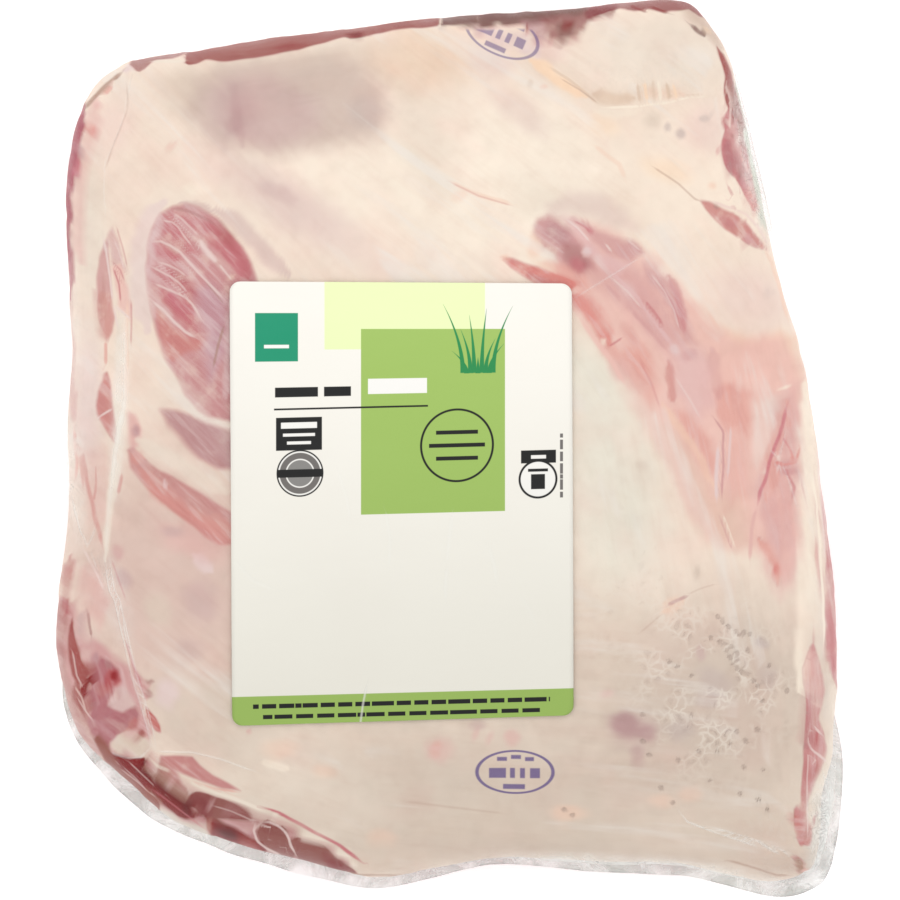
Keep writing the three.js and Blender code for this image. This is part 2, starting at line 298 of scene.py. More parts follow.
class Shell:
    """A closed skin of the pack's form: a square grid over the top, then rings down the side and in under it.

    share, place and side say for each vertex how far out it is, where round the edge, and how far it is from
    the part that shows from above, from 0 to 1."""

    def __init__(self, grid, upper_rows, inset, depth):
        self.grid, self.inset, self.depth = grid, inset, depth
        i, j = np.meshgrid(np.arange(-grid, grid + 1), np.arange(-grid, grid + 1), indexing="ij")
        i, j = i.ravel(), j.ravel()
        ring = np.maximum(np.abs(i), np.abs(j))
        size = np.maximum(ring, 1)
        place = np.select(
            [(i == ring) & (j < ring), (j == ring) & (i > -ring), (i == -ring) & (j > -ring)],
            [(j / size + 1) / 2, 1 + (1 - i / size) / 2, 2 + (1 - j / size) / 2],
            3 + (i / size + 1) / 2,
        )
        place = np.where(ring == 0, 0, place) / 4
        out = ring / grid
        share = TOP_REACH * out * (1.4 - 0.4 * out)
        self.rows = []
        self.add_top(place, share)
        width = 2 * grid + 1
        corner = (np.arange(2 * grid)[:, None] * width + np.arange(2 * grid)).ravel()
        self.faces = [np.stack([corner, corner + width, corner + width + 1, corner + 1], 1)]
        step = np.arange(-grid, grid)
        far = np.full(2 * grid, grid)
        sides = [(far, step), (-step, far), (-far, -step), (step, -far)]
        self.above = np.concatenate([(a + grid) * width + b + grid for a, b in sides])
        self.count = 8 * grid
        self.ring_place = np.arange(self.count) / self.count
        rim = (1 - TOP_REACH**LOAF_POWER) ** (1 / LOAF_POWER)
        for row in range(1, upper_rows + 1):
            rounding = rim * (1 - row / upper_rows)
            self.add_top(self.ring_place, np.full(self.count, (1 - rounding**LOAF_POWER) ** (1 / LOAF_POWER)))
            self.close_ring()

    def edge(self, place):
        edge = wall_at(place)
        length = np.hypot(*edge.T)
        return edge * ((length - self.inset(directions(edge))) / length)[:, None]

    def add_top(self, place, share):
        edge = self.edge(place)
        spots = edge * share[:, None]
        z = top_height(spots, share, directions(edge)) - self.depth * (1 - share**4)
        self.rows.append(np.column_stack([spots, z, share, place, np.zeros(len(place))]))

    def add_ring(self, reach, z, side):
        """A ring that far out from the inset wall in metres, at a height."""
        edge = self.edge(self.ring_place)
        length = np.hypot(*edge.T)
        spots = edge * ((length + reach) / length)[:, None]
        full = np.ones(self.count)
        self.rows.append(np.column_stack([spots, z * full, full, self.ring_place, side * full]))
        self.close_ring()

    def close_ring(self):
        first = sum(len(row) for row in self.rows[:-1])
        ring = first + np.arange(self.count)
        self.faces.append(np.stack([self.above, ring, np.roll(ring, -1), np.roll(self.above, -1)], 1))
        self.above = ring

    def close_floor(self, shares, z):
        reach = np.hypot(*self.edge(self.ring_place).T) - TUCK
        for share in shares:
            self.add_ring((share - 1) * reach - TUCK, z, 1)
        middle = sum(len(row) for row in self.rows)
        self.rows.append(np.array([[0, 0, z, 0, 0, 1.0]]))
        centre = np.full(self.count, middle)
        self.caps = np.stack([self.above, centre, np.roll(self.above, -1)], 1)
        table = np.vstack(self.rows)
        self.positions = table[:, :3].copy()
        self.share, self.place, self.side = table[:, 3:].T

    def quads(self):
        return np.vstack(self.faces)

    def normals(self):
        quads = self.quads()
        corners = self.positions[quads]
        flat = np.cross(corners[:, 2] - corners[:, 0], corners[:, 3] - corners[:, 1])
        total = np.zeros_like(self.positions)
        for corner in range(4):
            np.add.at(total, quads[:, corner], flat)
        return total / np.maximum(np.linalg.norm(total, axis=1, keepdims=True), 1e-12)

    def to_photo(self):
        """Where each vertex falls in the photograph. What lies under the widest line takes a place just
        inside that line."""
        spots = self.positions[:, :2].copy()
        below = self.side > 0
        spots[below] = self.edge(self.place[below]) * JUST_INSIDE
        return photo_place(spots, np.where(below, BELLY_HEIGHT, self.positions[:, 2]))


def photo_place(spots, height):
    scale = (CAMERA_HEIGHT - BELLY_HEIGHT) / (CAMERA_HEIGHT - height) / PIXEL
    return np.stack([PHOTO_MIDDLE + spots[:, 0] * scale, PHOTO_MIDDLE - spots[:, 1] * scale], 1)


def add_piece(name, positions, faces, material, attributes):
    """A mesh object with smooth shading and its vertex attributes, moved as the solid was."""
    mesh = bpy.data.meshes.new(name)
    moved = positions + np.append(SHIFT, 0)
    mesh.from_pydata(moved.tolist(), [], [face for group in faces for face in group.tolist()])
    mesh.shade_smooth()
    kinds = {1: ("FLOAT", "value"), 3: ("FLOAT_VECTOR", "vector"), 4: ("FLOAT_COLOR", "color")}
    for key, values in attributes.items():
        kind, field = kinds[values.size // len(values)]
        mesh.attributes.new(key, kind, "POINT").data.foreach_set(field, values.astype(np.float32).ravel())
    mesh.materials.append(material)
    piece = bpy.data.objects.new(name, mesh)
    bpy.context.scene.collection.objects.link(piece)
    return piece


# Colours as the photograph shows them, from 0 to 255. A mark in a tint of the second table is laid as lean,
# and a mark in one of the first as fat.
FAT_TINTS = {
    "cream": (250, 236, 219), "base_fat": (243, 225, 209), "right_fat": (249, 232, 215),
    # The low fat and dull fat tints hold the fat low on the pack, laid darker than its own colour as painted
    # shade.
    "fat": (238, 214, 192), "ivory": (236, 230, 215), "shaded_low_fat": (219, 203, 188),
    "dull_fat": (211, 194, 180), "left_fat": (219, 192, 181), "beige": (222, 205, 189),
    "tan": (224, 198, 176), "peach": (243, 207, 186), "orange_fat": (251, 221, 192),
    "wall_cream": (237, 223, 208), "blush": (238, 195, 185), "pink": (226, 180, 174),
    "pale_pink": (239, 213, 203), "haze": (228, 205, 196), "shade": (211, 190, 179),
    "lilac": (204, 175, 172), "haze_lilac": (231, 209, 207), "grey_lilac": (202, 185, 178),
    "bruise": (188, 152, 152), "violet_meat": (206, 176, 184), "film_grey": (214, 203, 192),
    "pale_rose": (228, 190, 188), "film_green": (207, 210, 196),
}
LEAN_TINTS = {
    "salmon": (228, 168, 157), "coral": (221, 134, 127), "rose": (209, 159, 158),
    "deep_rose": (199, 123, 128), "magenta": (198, 106, 122), "mauve": (190, 148, 150),
    "plum": (166, 117, 114), "red": (207, 138, 133), "brick": (168, 98, 94), "crimson": (146, 56, 58),
    "wine": (108, 24, 24), "brown": (175, 138, 122), "mauve_pink": (184, 124, 128),
    "rose_brick": (182, 96, 98), "red_brick": (196, 108, 102), "light_rose": (216, 186, 181),
    "brown_red": (160, 92, 80), "rose_salmon": (198, 136, 134), "band_rose": (205, 146, 144),
    "rim_rose": (166, 108, 103), "left_rose": (176, 100, 110), "dark_mauve": (152, 102, 97),
    "dark_plum": (142, 78, 80), "dark_red": (138, 56, 52), "brown_rose": (152, 92, 82),
    "rose_shade": (192, 146, 140), "rim_brown_shaded": (134, 100, 94),
}
DETAIL_TINTS = {
    # pit is the darker colour laid in the pits' hollows, a painted shade.
    "wisp": (238, 232, 226), "fascia": (236, 214, 208), "pit": (176, 156, 146), "pit_lace": (238, 228, 216),
    "stamp_ink": (96, 82, 140),
}
TINTS = {**FAT_TINTS, **LEAN_TINTS, **DETAIL_TINTS}

# How much the light lifts a matt colour, and how much the clear film's gloss adds to it
LIGHT_LEVEL = 1.05
VEIL = 0.045

# Marks on the meat, by pixel of the photograph. A wash and a blot are a centre, two half sizes, a turn in
# degrees, a tint and a strength. A patch is an outline, a tint, a strength and how soft its edge is, and a
# stroke is a line, its half width, a tint and a strength.
WASHES = {
    # The next two washes lay the upper fat lighter: painted light from above, over the fat's own cream.
    "top fat with painted light": (440, 190, 170, 62, 14, "cream", 0.9),
    "middle fat with painted light": (540, 160, 90, 70, 30, "cream", 0.8),
    "right fat": (680, 200, 100, 90, 20, "right_fat", 0.9),
    "right middle": (720, 290, 70, 50, 20, "base_fat", 0.6),
    # The next five washes lay the lower fat darker towards the bottom edge: painted shade where the light
    # falls off, over the fat's own duller tone.
    "lower fat": (480, 810, 330, 100, 0, "shaded_low_fat", 1.0),
    "lower right": (715, 700, 130, 100, 0, "dull_fat", 0.9),
    "corner fat": (745, 835, 80, 36, 10, "shaded_low_fat", 0.7),
    "low edge": (600, 858, 250, 14, 3, "dull_fat", 0.7),
    "low edge left": (400, 862, 90, 14, 3, "beige", 0.5),
    "left fat": (165, 580, 110, 130, 0, "left_fat", 0.95),
    "left low fat": (205, 720, 60, 40, 30, "shaded_low_fat", 0.7),
    "beside label": (615, 500, 46, 110, -8, "ivory", 0.9),
    "label side": (592, 385, 22, 50, -25, "ivory", 0.85),
    "beside label foot": (600, 640, 50, 60, 0, "beige", 0.5),
    "left wall": (92, 230, 14, 90, 0, "wall_cream", 0.9),
    "left wall foot": (88, 400, 16, 70, 0, "haze_lilac", 0.6),
    "lower left fat": (300, 790, 80, 40, 15, "wall_cream", 0.5),
    "top beige": (300, 70, 130, 22, -8, "beige", 0.8), "top left beige": (190, 90, 32, 26, 0, "beige", 0.6),
    "flap": (660, 50, 70, 34, 0, "wall_cream", 0.8), "top yellow": (425, 58, 50, 34, 0, "fat", 0.9),
    "top streak": (425, 150, 24, 60, -20, "beige", 0.35),
    "corner pink": (112, 125, 18, 34, 20, "pale_pink", 0.5),
    "shoulder haze": (290, 205, 90, 24, 32, "haze", 0.85), "top lilac": (490, 62, 22, 16, 20, "haze", 0.6),
    "flap foot": (550, 50, 18, 12, 0, "pale_pink", 0.6), "middle pink": (520, 112, 34, 14, 38, "haze", 0.5),
    "lower yellow": (665, 170, 24, 12, 25, "orange_fat", 0.5),
    "flap pink": (706, 128, 22, 26, 0, "pale_pink", 0.7),
    "right pink": (755, 300, 44, 30, 20, "pale_pink", 0.7),
}
PATCHES = {
    "neck shade": ("184,110 192,82 220,66 310,56 356,64 384,86 388,112 378,134 320,149 255,156 222,152 "
        "200,136", "shade", 0.85, 15),
    "neck lilac field": ("204,96 224,80 262,76 300,84 322,104 318,128 290,140 258,146 226,142 208,124",
        "lilac", 0.55, 14),
    "peach band": ("684,300 702,303 720,330 760,338 780,330 797,336 806,400 770,420 730,400 700,360",
        "peach", 0.85, 8),
    "fan": ("575,222 610,226 660,264 692,303 720,331 739,341 763,335 785,338 800,365 804,410 805,480 "
        "803,540 796,570 786,580 755,552 728,550 706,542 668,464 652,438 635,395 625,378 573,306 550,284",
        "blush", 0.85, 9),
    "fan pale foot": ("630,392 686,444 712,488 742,500 748,548 712,545", "tan", 0.4, 14),
    "fan foot pink": ("618,370 640,388 668,430 690,470 712,520 704,530 684,500 662,456 622,394",
        "pale_pink", 0.6, 9),
    "fan root side": ("600,250 630,262 650,290 668,330 660,340 600,270", "pink", 0.6, 12),
    "fan right": ("775,396 800,380 806,440 806,520 800,580 782,598 764,570", "pink", 0.6, 10),
    "salmon middle": ("675,410 690,416 712,442 717,465 711,480 700,466 688,446", "salmon", 0.7, 5),
    "salmon side": ("712,386 734,379 750,394 753,420 748,442 736,428 722,432 713,412", "salmon", 0.75, 6),
    "salmon foot": ("728,432 746,436 752,470 744,500 728,510 724,470", "salmon", 0.4, 8),
    "fan left": ("576,300 598,318 622,348 650,352 660,386 650,410 632,392 596,336", "salmon", 0.55, 7),
    "fan pale panel": ("752,402 779,394 783,420 771,455 756,470 750,440", "pale_pink", 0.7, 5),
    "fan low pink": ("764,470 790,432 801,470 801,540 790,566 772,556 760,518", "blush", 0.6, 7),
    "vein wash": ("778,402 794,404 802,440 803,500 796,540 782,560 768,540 758,512 756,490 768,462 776,430",
        "rose", 0.4, 8),
    "fan mauve field": ("586,262 640,268 656,280 670,310 682,345 672,356 620,300 590,284", "rose", 0.5, 8),
    "fan upper band": ("642,262 656,268 668,282 680,302 692,330 696,346 684,346 674,320 660,292 646,276",
        "rose", 0.7, 5),
    "fan lilac field": ("672,352 690,346 706,352 713,372 712,400 702,424 690,416 678,394",
        "pale_rose", 0.6, 9),
    "leaf side": ("108,234 113,226 118,240 123,262 127,272 112,262", "rose", 0.6, 2.5),
    "leaf wedge": ("112,265 121,262 131,300 130,322 120,308", "blush", 0.85, 2),
    "ridge red": ("127,410 134,414 141,430 138,446 130,452 127,432", "pink", 0.8, 3),
    "wall pink": ("84,452 104,448 110,470 106,520 98,548 90,520 84,486", "pink", 0.35, 6),
    "wall fold": ("80,560 100,568 108,600 100,630 80,604", "pink", 0.55, 6),
    "lower left meat": ("52,592 76,600 90,636 128,664 152,730 146,748 96,756 76,748 56,726 46,680 46,640",
        "rose", 0.9, 5),
    "left rim low": ("46,600 68,598 72,612 66,628 65,650 66,668 70,682 84,702 90,722 104,752 96,770 70,750 "
        "50,720 42,680", "rose_shade", 0.85, 3),
    "lilac wedge": ("77,612 86,612 92,640 90,654 84,656 76,630", "lilac", 0.75, 3),
    "lilac wedge foot": ("82,652 90,652 90,668 86,664", "haze_lilac", 0.8, 2),
    "gap side": ("91,654 97,652 100,658 97,668 92,674 90,664", "mauve", 0.9, 2),
    "light patch": ("115,686 122,685 128,690 133,697 136,705 132,709 121,713 112,710 107,703 114,695",
        "light_rose", 0.95, 3),
    "cream blob": ("108,735 119,731 137,733 147,738 152,750 147,756 132,757 119,755 112,750",
        "beige", 0.95, 3),
    "corner base": ("96,738 111,752 150,757 164,772 186,784 217,796 250,806 276,818 300,836 326,843 "
        "352,868 330,878 300,872 262,856 222,844 206,828 184,822 158,812 130,794 108,766",
        "mauve_pink", 0.85, 3),
    "corner frost": ("150,811 160,809 184,821 200,824 208,832 216,850 196,846 172,834 152,822",
        "film_grey", 0.95, 3),
    "corner grey light": ("150,766 166,772 178,784 176,790 164,784 154,776", "lilac", 0.5, 4),
    "end fat": ("212,820 228,821 250,830 256,836 235,830 214,822", "light_rose", 0.5, 2.5),
    "root haze": ("545,205 570,192 604,196 626,214 640,232 620,230 570,212 550,222", "haze", 0.6, 8),
    "fan root": ("536,220 546,214 562,220 574,231 596,258 597,270 580,276 566,266 543,246 535,234",
        "rose", 0.95, 5),
    "fan second root": ("573,220 612,236 634,242 644,254 630,263 612,255 598,244 584,236",
        "rose", 0.7, 3.5),
    "root band": ("562,216 574,220 586,236 604,252 630,266 620,276 600,268", "pale_rose", 0.75, 5),
    "wedge shade": ("544,262 566,262 586,276 590,292 574,290 556,276", "salmon", 0.7, 5),
    # The top rim's middle is laid dark brown: the cut edge's own colour, darkened further as painted shade
    # where the top turns down.
    "rim middle": ("440,2 478,2 478,24 440,27", "rim_brown_shaded", 1.0, 2.5),
    "rim right": ("476,-2 600,-8 604,9 582,15 556,19 530,22 500,23 478,26", "rim_brown_shaded", 1.0, 2.5),
    "stamp field": ("470,24 486,26 510,31 530,37 541,46 538,56 526,54 506,45 486,38 474,31",
        "haze_lilac", 0.7, 3),
    "corner shade": ("684,0 704,4 718,26 722,48 712,42 702,30 680,8", "brown", 0.45, 4),
    "edge film": ("735,70 742,84 748,110 768,230 760,222 754,196 737,98", "film_green", 0.9, 2),
    "notch foot": ("546,32 572,36 566,43 552,42", "plum", 0.6, 3),
    "corner film": ("820,800 842,790 850,830 842,880 812,890 808,856", "film_grey", 0.8, 5),
    "notch": ("540,16 584,8 600,12 586,22 582,32 574,40 562,45 551,42", "plum", 0.85, 4),
    "notch arm": ("521,20 534,18 546,22 549,34 540,40 530,33 524,27", "mauve", 0.8, 4),
}
# Patches of lean with crisp edges
CRISP_PATCHES = {
    "red oval": ("73,614 68,624 66,642 67,661 71,675 77,684 83,688 88,681 89,674 86,666 81,658 79,648 "
        "75,636 73,626", "brick", 1.0, 1.6),
    "dark gap": ("93,672 88,676 78,689 81,698 86,700", "crimson", 1.0, 1.8),
    "gap foot": ("72,684 79,690 84,700 88,712 86,722 78,712 70,698", "brick", 0.9, 2.5),
    "muscle face": ("100,656 90,686 88,699 90,712 85,720 88,734 110,752 110,740 122,733 135,728 139,714 "
        "135,705 122,712 112,709 105,703 113,694 114,684 120,680 119,670 110,661", "mauve_pink", 1.0, 2.2),
    "second warm patch": ("121,715 134,711 138,718 136,729 124,731 120,724", "rose_brick", 0.85, 2.5),
    "side leaf": ("130,662 138,673 144,679 153,681 149,688 152,696 145,700 133,677", "rose", 0.8, 2.5),
    "fold leaf": ("145,705 156,718 160,726 160,733 155,731 149,724 146,716", "red_brick", 0.95, 1.6),
    "corner brown": ("94,730 101,737 106,745 111,754 114,762 119,770 125,776 155,799 160,805 159,812 "
        "152,813 145,810 137,803 111,776 103,764 91,740", "brown_rose", 1.0, 1.8),
    "corner strip": ("111,753 121,757 131,759 148,757 142,765 153,782 177,799 187,805 198,817 192,820 "
        "185,820 177,818 170,813 161,806 155,799 118,770 113,762", "dark_red", 1.0, 1.6),
    "corner grey": ("143,762 151,771 177,777 188,785 193,790 188,797 182,797 158,784 152,780 145,770",
        "brown", 0.9, 2),
    "pink lobe": ("153,758 161,755 192,756 200,765 212,775 228,783 241,791 223,789 192,778 177,772 166,765 "
        "156,761", "rose_salmon", 0.9, 2),
    "mauve muscle": ("188,786 217,797 250,807 272,817 286,828 293,837 282,834 271,826 254,822 222,820 "
        "208,820 199,815 183,798 188,796", "dark_mauve", 1.0, 1.6),
    "red end": ("205,821 215,822 225,825 256,841 268,848 266,855 250,853 222,843 212,838 206,830",
        "dark_red", 1.0, 2),
    "second mauve": ("254,826 265,822 276,826 287,838 296,854 291,865 272,857 260,843",
        "dark_mauve", 1.0, 1.4),
    "third mauve": ("289,835 309,840 323,845 335,857 352,868 358,875 328,878 304,871 297,862 292,848",
        "dark_mauve", 1.0, 1.6),
    "rim start": ("128,64 136,54 160,48 186,43 187,52 170,57.5 152,62 145,68 137,72", "plum", 0.9, 1.6),
    "upper leaf": ("108,234 99,258 96,278 97,320 101,332 107,341 112,330 115,318 111,286 109,262 109,244",
        "rose", 0.75, 2),
    "lower leaf": ("101,373 107,371 111,386 116,432 115,444 109,436 97,416 95,404 96,392 101,382",
        "red", 0.85, 2),
    "salmon strip": ("126,450 133,448 141,454 151,464 161,471 173,476 230,511 240,520 240,546 218,544 "
        "205,536 195,527 170,511 160,503 150,493 131,468", "rose_salmon", 0.75, 2.5),
    "shank muscle": ("160,214 172,206 186,204 200,208 217,218 231,232 243,247 252,264 260,290 262,400 "
        "240,424 209,417 198,409 186,395 165,357 157,335 151,311 146,267 147,248 152,228", "rose", 1.0, 3),
    "fan wedge": ("501,257 512,258 524,263 566,276 580,283 570,292 540,288 511,268", "coral", 0.9, 2.5),
    "shank foot": ("160,410 176,410 190,414 206,423 230,430 245,440 245,472 217,468 199,459 182,442 "
        "168,426", "mauve", 0.85, 4),
    "top rim": ("184,66 186,50 235,36 382,9 430,4 440,5 440,24 400,29 350,38 345,36 315,44 297,50 222,62 "
        "205,59 195,63", "rim_rose", 1.0, 1.8),
    "strip high": ("716,44 724,54 731,70 743,112 746,130 740,126 727,104 724,92 725,77 721,62 717,52",
        "brick", 1.0, 1.6),
    "strip": ("722,115 729,110 738,122 744,134 750,156 760,213 753,212 741,188 734,178 726,170 722,157 "
        "721,140 725,131 722,122", "deep_rose", 0.95, 1.6),
    "right lens": ("699,199 709,201 738,216 748,224 766,244 770,250 760,248 748,244 725,229 705,209",
        "red", 0.85, 2),
    "flap rim": ("584,0 606,-8 660,-10 700,-4 712,20 700,16 690,8 664,12 648,8 634,11 620,7 592,17",
        "plum", 1.0, 2),
    "right rim": ("824,430 834,440 846,560 848,640 838,690 832,676 830,650 826,620 827,560 822,500",
        "rose", 0.9, 1.6),
    "right rim inner": ("815,470 819,520 821,580 820,620 817,646 813,640 816,600", "pink", 0.8, 1.6),
    "right red band": ("815,641 823,676 825,693 823,706 818,718 825,735 827,747 825,760 822,770 810,800 "
        "807,812 804,848 799,846 795,835 793,822 795,810 802,799 802,785 804,762 804,743 806,706 805,689 "
        "803,680 803,668 808,652", "band_rose", 0.95, 1.5),
    "corner leaf": ("819,812 814,830 811,847 807,846 808,833 813,820", "red_brick", 0.85, 1.4),
}
# Softer patches that only shade what is there
SHADES = {
    "muscle face core": ("108,668 118,669 121,680 113,686 111,694 101,693 102,682", "rose_brick", 0.85, 3),
    "corner dark": ("133,760 148,757 142,765 148,775 156,785 168,795 182,802 191,809 195,815 183,812 "
        "167,802 152,790 142,778", "wine", 0.5, 2.5),
    "third mauve dark": ("322,856 338,862 352,870 340,875 326,868", "dark_plum", 0.7, 3),
    "mauve muscle dark": ("186,797 205,803 215,808 212,816 203,816 195,808", "dark_plum", 0.8, 3),
    "mauve muscle pale": ("224,803 246,809 264,816 262,821 240,819 224,815", "mauve", 0.35, 3),
    "crescent": ("203,219 217,225 229,234 239,244 246,256 250,268 251,282 236,282 229,266 210,244 204,232",
        "deep_rose", 0.9, 3),
    "second lobe": ("164,224 177,224 188,240 196,254 186,255 171,243 163,232", "deep_rose", 0.75, 3),
    "top lobe": ("162,216 178,212 196,218 204,228 198,234 184,222 168,220", "deep_rose", 0.5, 3),
    "third lobe": ("150,241 161,243 174,250 184,261 176,262 164,257 154,256", "deep_rose", 0.9, 2.5),
    "middle lobe": ("160,266 176,272 190,284 198,296 190,296 160,284", "deep_rose", 0.5, 3.5),
    "fifth lobe": ("158,289 178,294 189,300 194,312 192,324 198,336 186,328 162,303", "deep_rose", 0.9, 3),
    "low lobe": ("155,308 164,314 175,326 190,338 208,341 202,349 184,353 172,360 164,354 158,334",
        "red", 0.85, 3.5),
    "lilac side": ("197,290 212,284 226,300 226,352 212,380 204,352 206,334 196,312",
        "violet_meat", 0.65, 7),
    "strip core": ("140,472 176,498 198,512 232,526 236,544 216,542 195,526 170,510 152,494",
        "coral", 0.5, 4),
    "leaf foot": ("104,292 112,296 115,318 112,330 107,341 101,332 100,312", "red", 0.8, 2.5),
    "strip mauve": ("724,142 733,146 741,158 748,174 747,181 739,180 731,172 725,158",
        "mauve_pink", 0.7, 3),
    "strip foot": ("746,186 754,190 758,204 758,216 752,210 747,198", "salmon", 0.7, 3),
    "lens deep": ("718,214 728,218 736,224 732,230 722,224", "deep_rose", 0.8, 3),
    "flap rim dark": ("583,8 598,3 618,5 614,13 598,17 585,18", "dark_plum", 0.8, 2.5),
    # The notch's core takes the top rim's brown and its painted shade.
    "notch core": ("556,22 572,20 578,26 570,36 560,38", "rim_brown_shaded", 0.6, 3),
    "rim deep": ("828,600 840,610 840,670 832,670 828,640", "deep_rose", 0.7, 3),
    "band deep": ("805,694 811,694 813,720 811,748 806,748", "mauve_pink", 0.6, 3),
    "band pale": ("808,652 818,650 824,690 818,700 810,690", "blush", 0.35, 4),
}
# Wide strokes with soft edges, and thin ones with crisp edges
STROKES = {
    "left rim": ("84,104 71,152 67,176 65,200 65,234 68,300", 6, "left_rose", 1.0),
    "left rim wash": ("97,96 81,180 79,262", 6, "pink", 0.5),
    "rim film": ("125,74 132,66", 3, "haze_lilac", 0.9), "left rim foot": ("68,262 71,420", 4, "rose", 0.5),
    "neck streak": ("230,76 238,125 244,148", 4, "bruise", 0.25),
    "muscle halo": ("164,203 150,218 141,240 138,266 141,300 147,330", 9, "haze_lilac", 0.55),
    "muscle top": ("180,203 196,206 212,214", 3, "lilac", 0.5),
    "muscle side": ("216,212 236,222 270,258 290,272", 7, "lilac", 0.5),
    "muscle edge": ("231,300 227,400", 4, "haze_lilac", 0.55),
    "ridge": ("119,318 119,400 116,470 110,505 107,535 106,560", 4.2, "wall_cream", 0.8),
    "cream band": ("137,440 165,455 196,475 228,492", 8, "wall_cream", 0.8),
    "light diagonal": ("192,556 212,572", 5, "haze_lilac", 0.7),
    "edge red": ("70,556 66,580 66,600 68,614", 5, "rose_brick", 0.55),
    "strip fat line": ("276,815 290,824 322,841 358,868", 3.4, "wall_cream", 0.95),
    "lower lip": ("306,877 353,882 405,885 442,884", 4, "pale_pink", 0.6),
    "lower cream streak": ("262,762 274,764 288,770", 3, "cream", 0.6),
    "outer strip": ("832,684 837,720 835,752 826,778 816,800", 5.5, "wall_cream", 0.9),
    "corner brown": ("800,860 803,874", 3, "brown", 0.9),
    "corner orange": ("803,872 812,878", 4, "salmon", 0.6),
    "pink fold wash": ("664,612 672,606 684,600", 6, "peach", 0.5),
    "fan edge": ("572,298 588,306 601,322 610,342", 8, "coral", 0.65),
    "fan mauve": ("668,274 676,292 681,310 685,334", 3.6, "deep_rose", 0.5),
    "fan wedge low": ("670,362 674,402", 4, "red", 0.6),
    "fan cream streak": ("664,404 700,458 714,488", 3, "peach", 0.7),
    "fan mauve pink": ("713,350 716,372 717,396", 6, "rose", 0.4),
    "vein halo": ("788,402 784,424 777,444 772,463 770,484 766,500", 7, "salmon", 0.6),
    "vein knot": ("776,458 784,470 796,476 800,490", 5, "rose", 0.55),
    "vein foot": ("759,540 777,566 779,584", 4.5, "salmon", 0.75),
    "right cream": ("804,384 808,420 806,620 800,690", 7, "cream", 0.9),
    # Along the flap's fold: the flap tan strokes are painted shade under it, and the cream stroke after them
    # a painted highlight on it.
    "flap fold": ("530,60 544,66 558,80 572,90 586,97", 5, "orange_fat", 0.9),
    "flap tan": ("594,94 616,98 636,97", 5.5, "tan", 0.6),
    "flap tan end": ("640,92 664,92 684,94", 5, "peach", 0.4),
    "fold painted highlight": ("594,110 618,113 644,109", 3.5, "cream", 0.8),
}
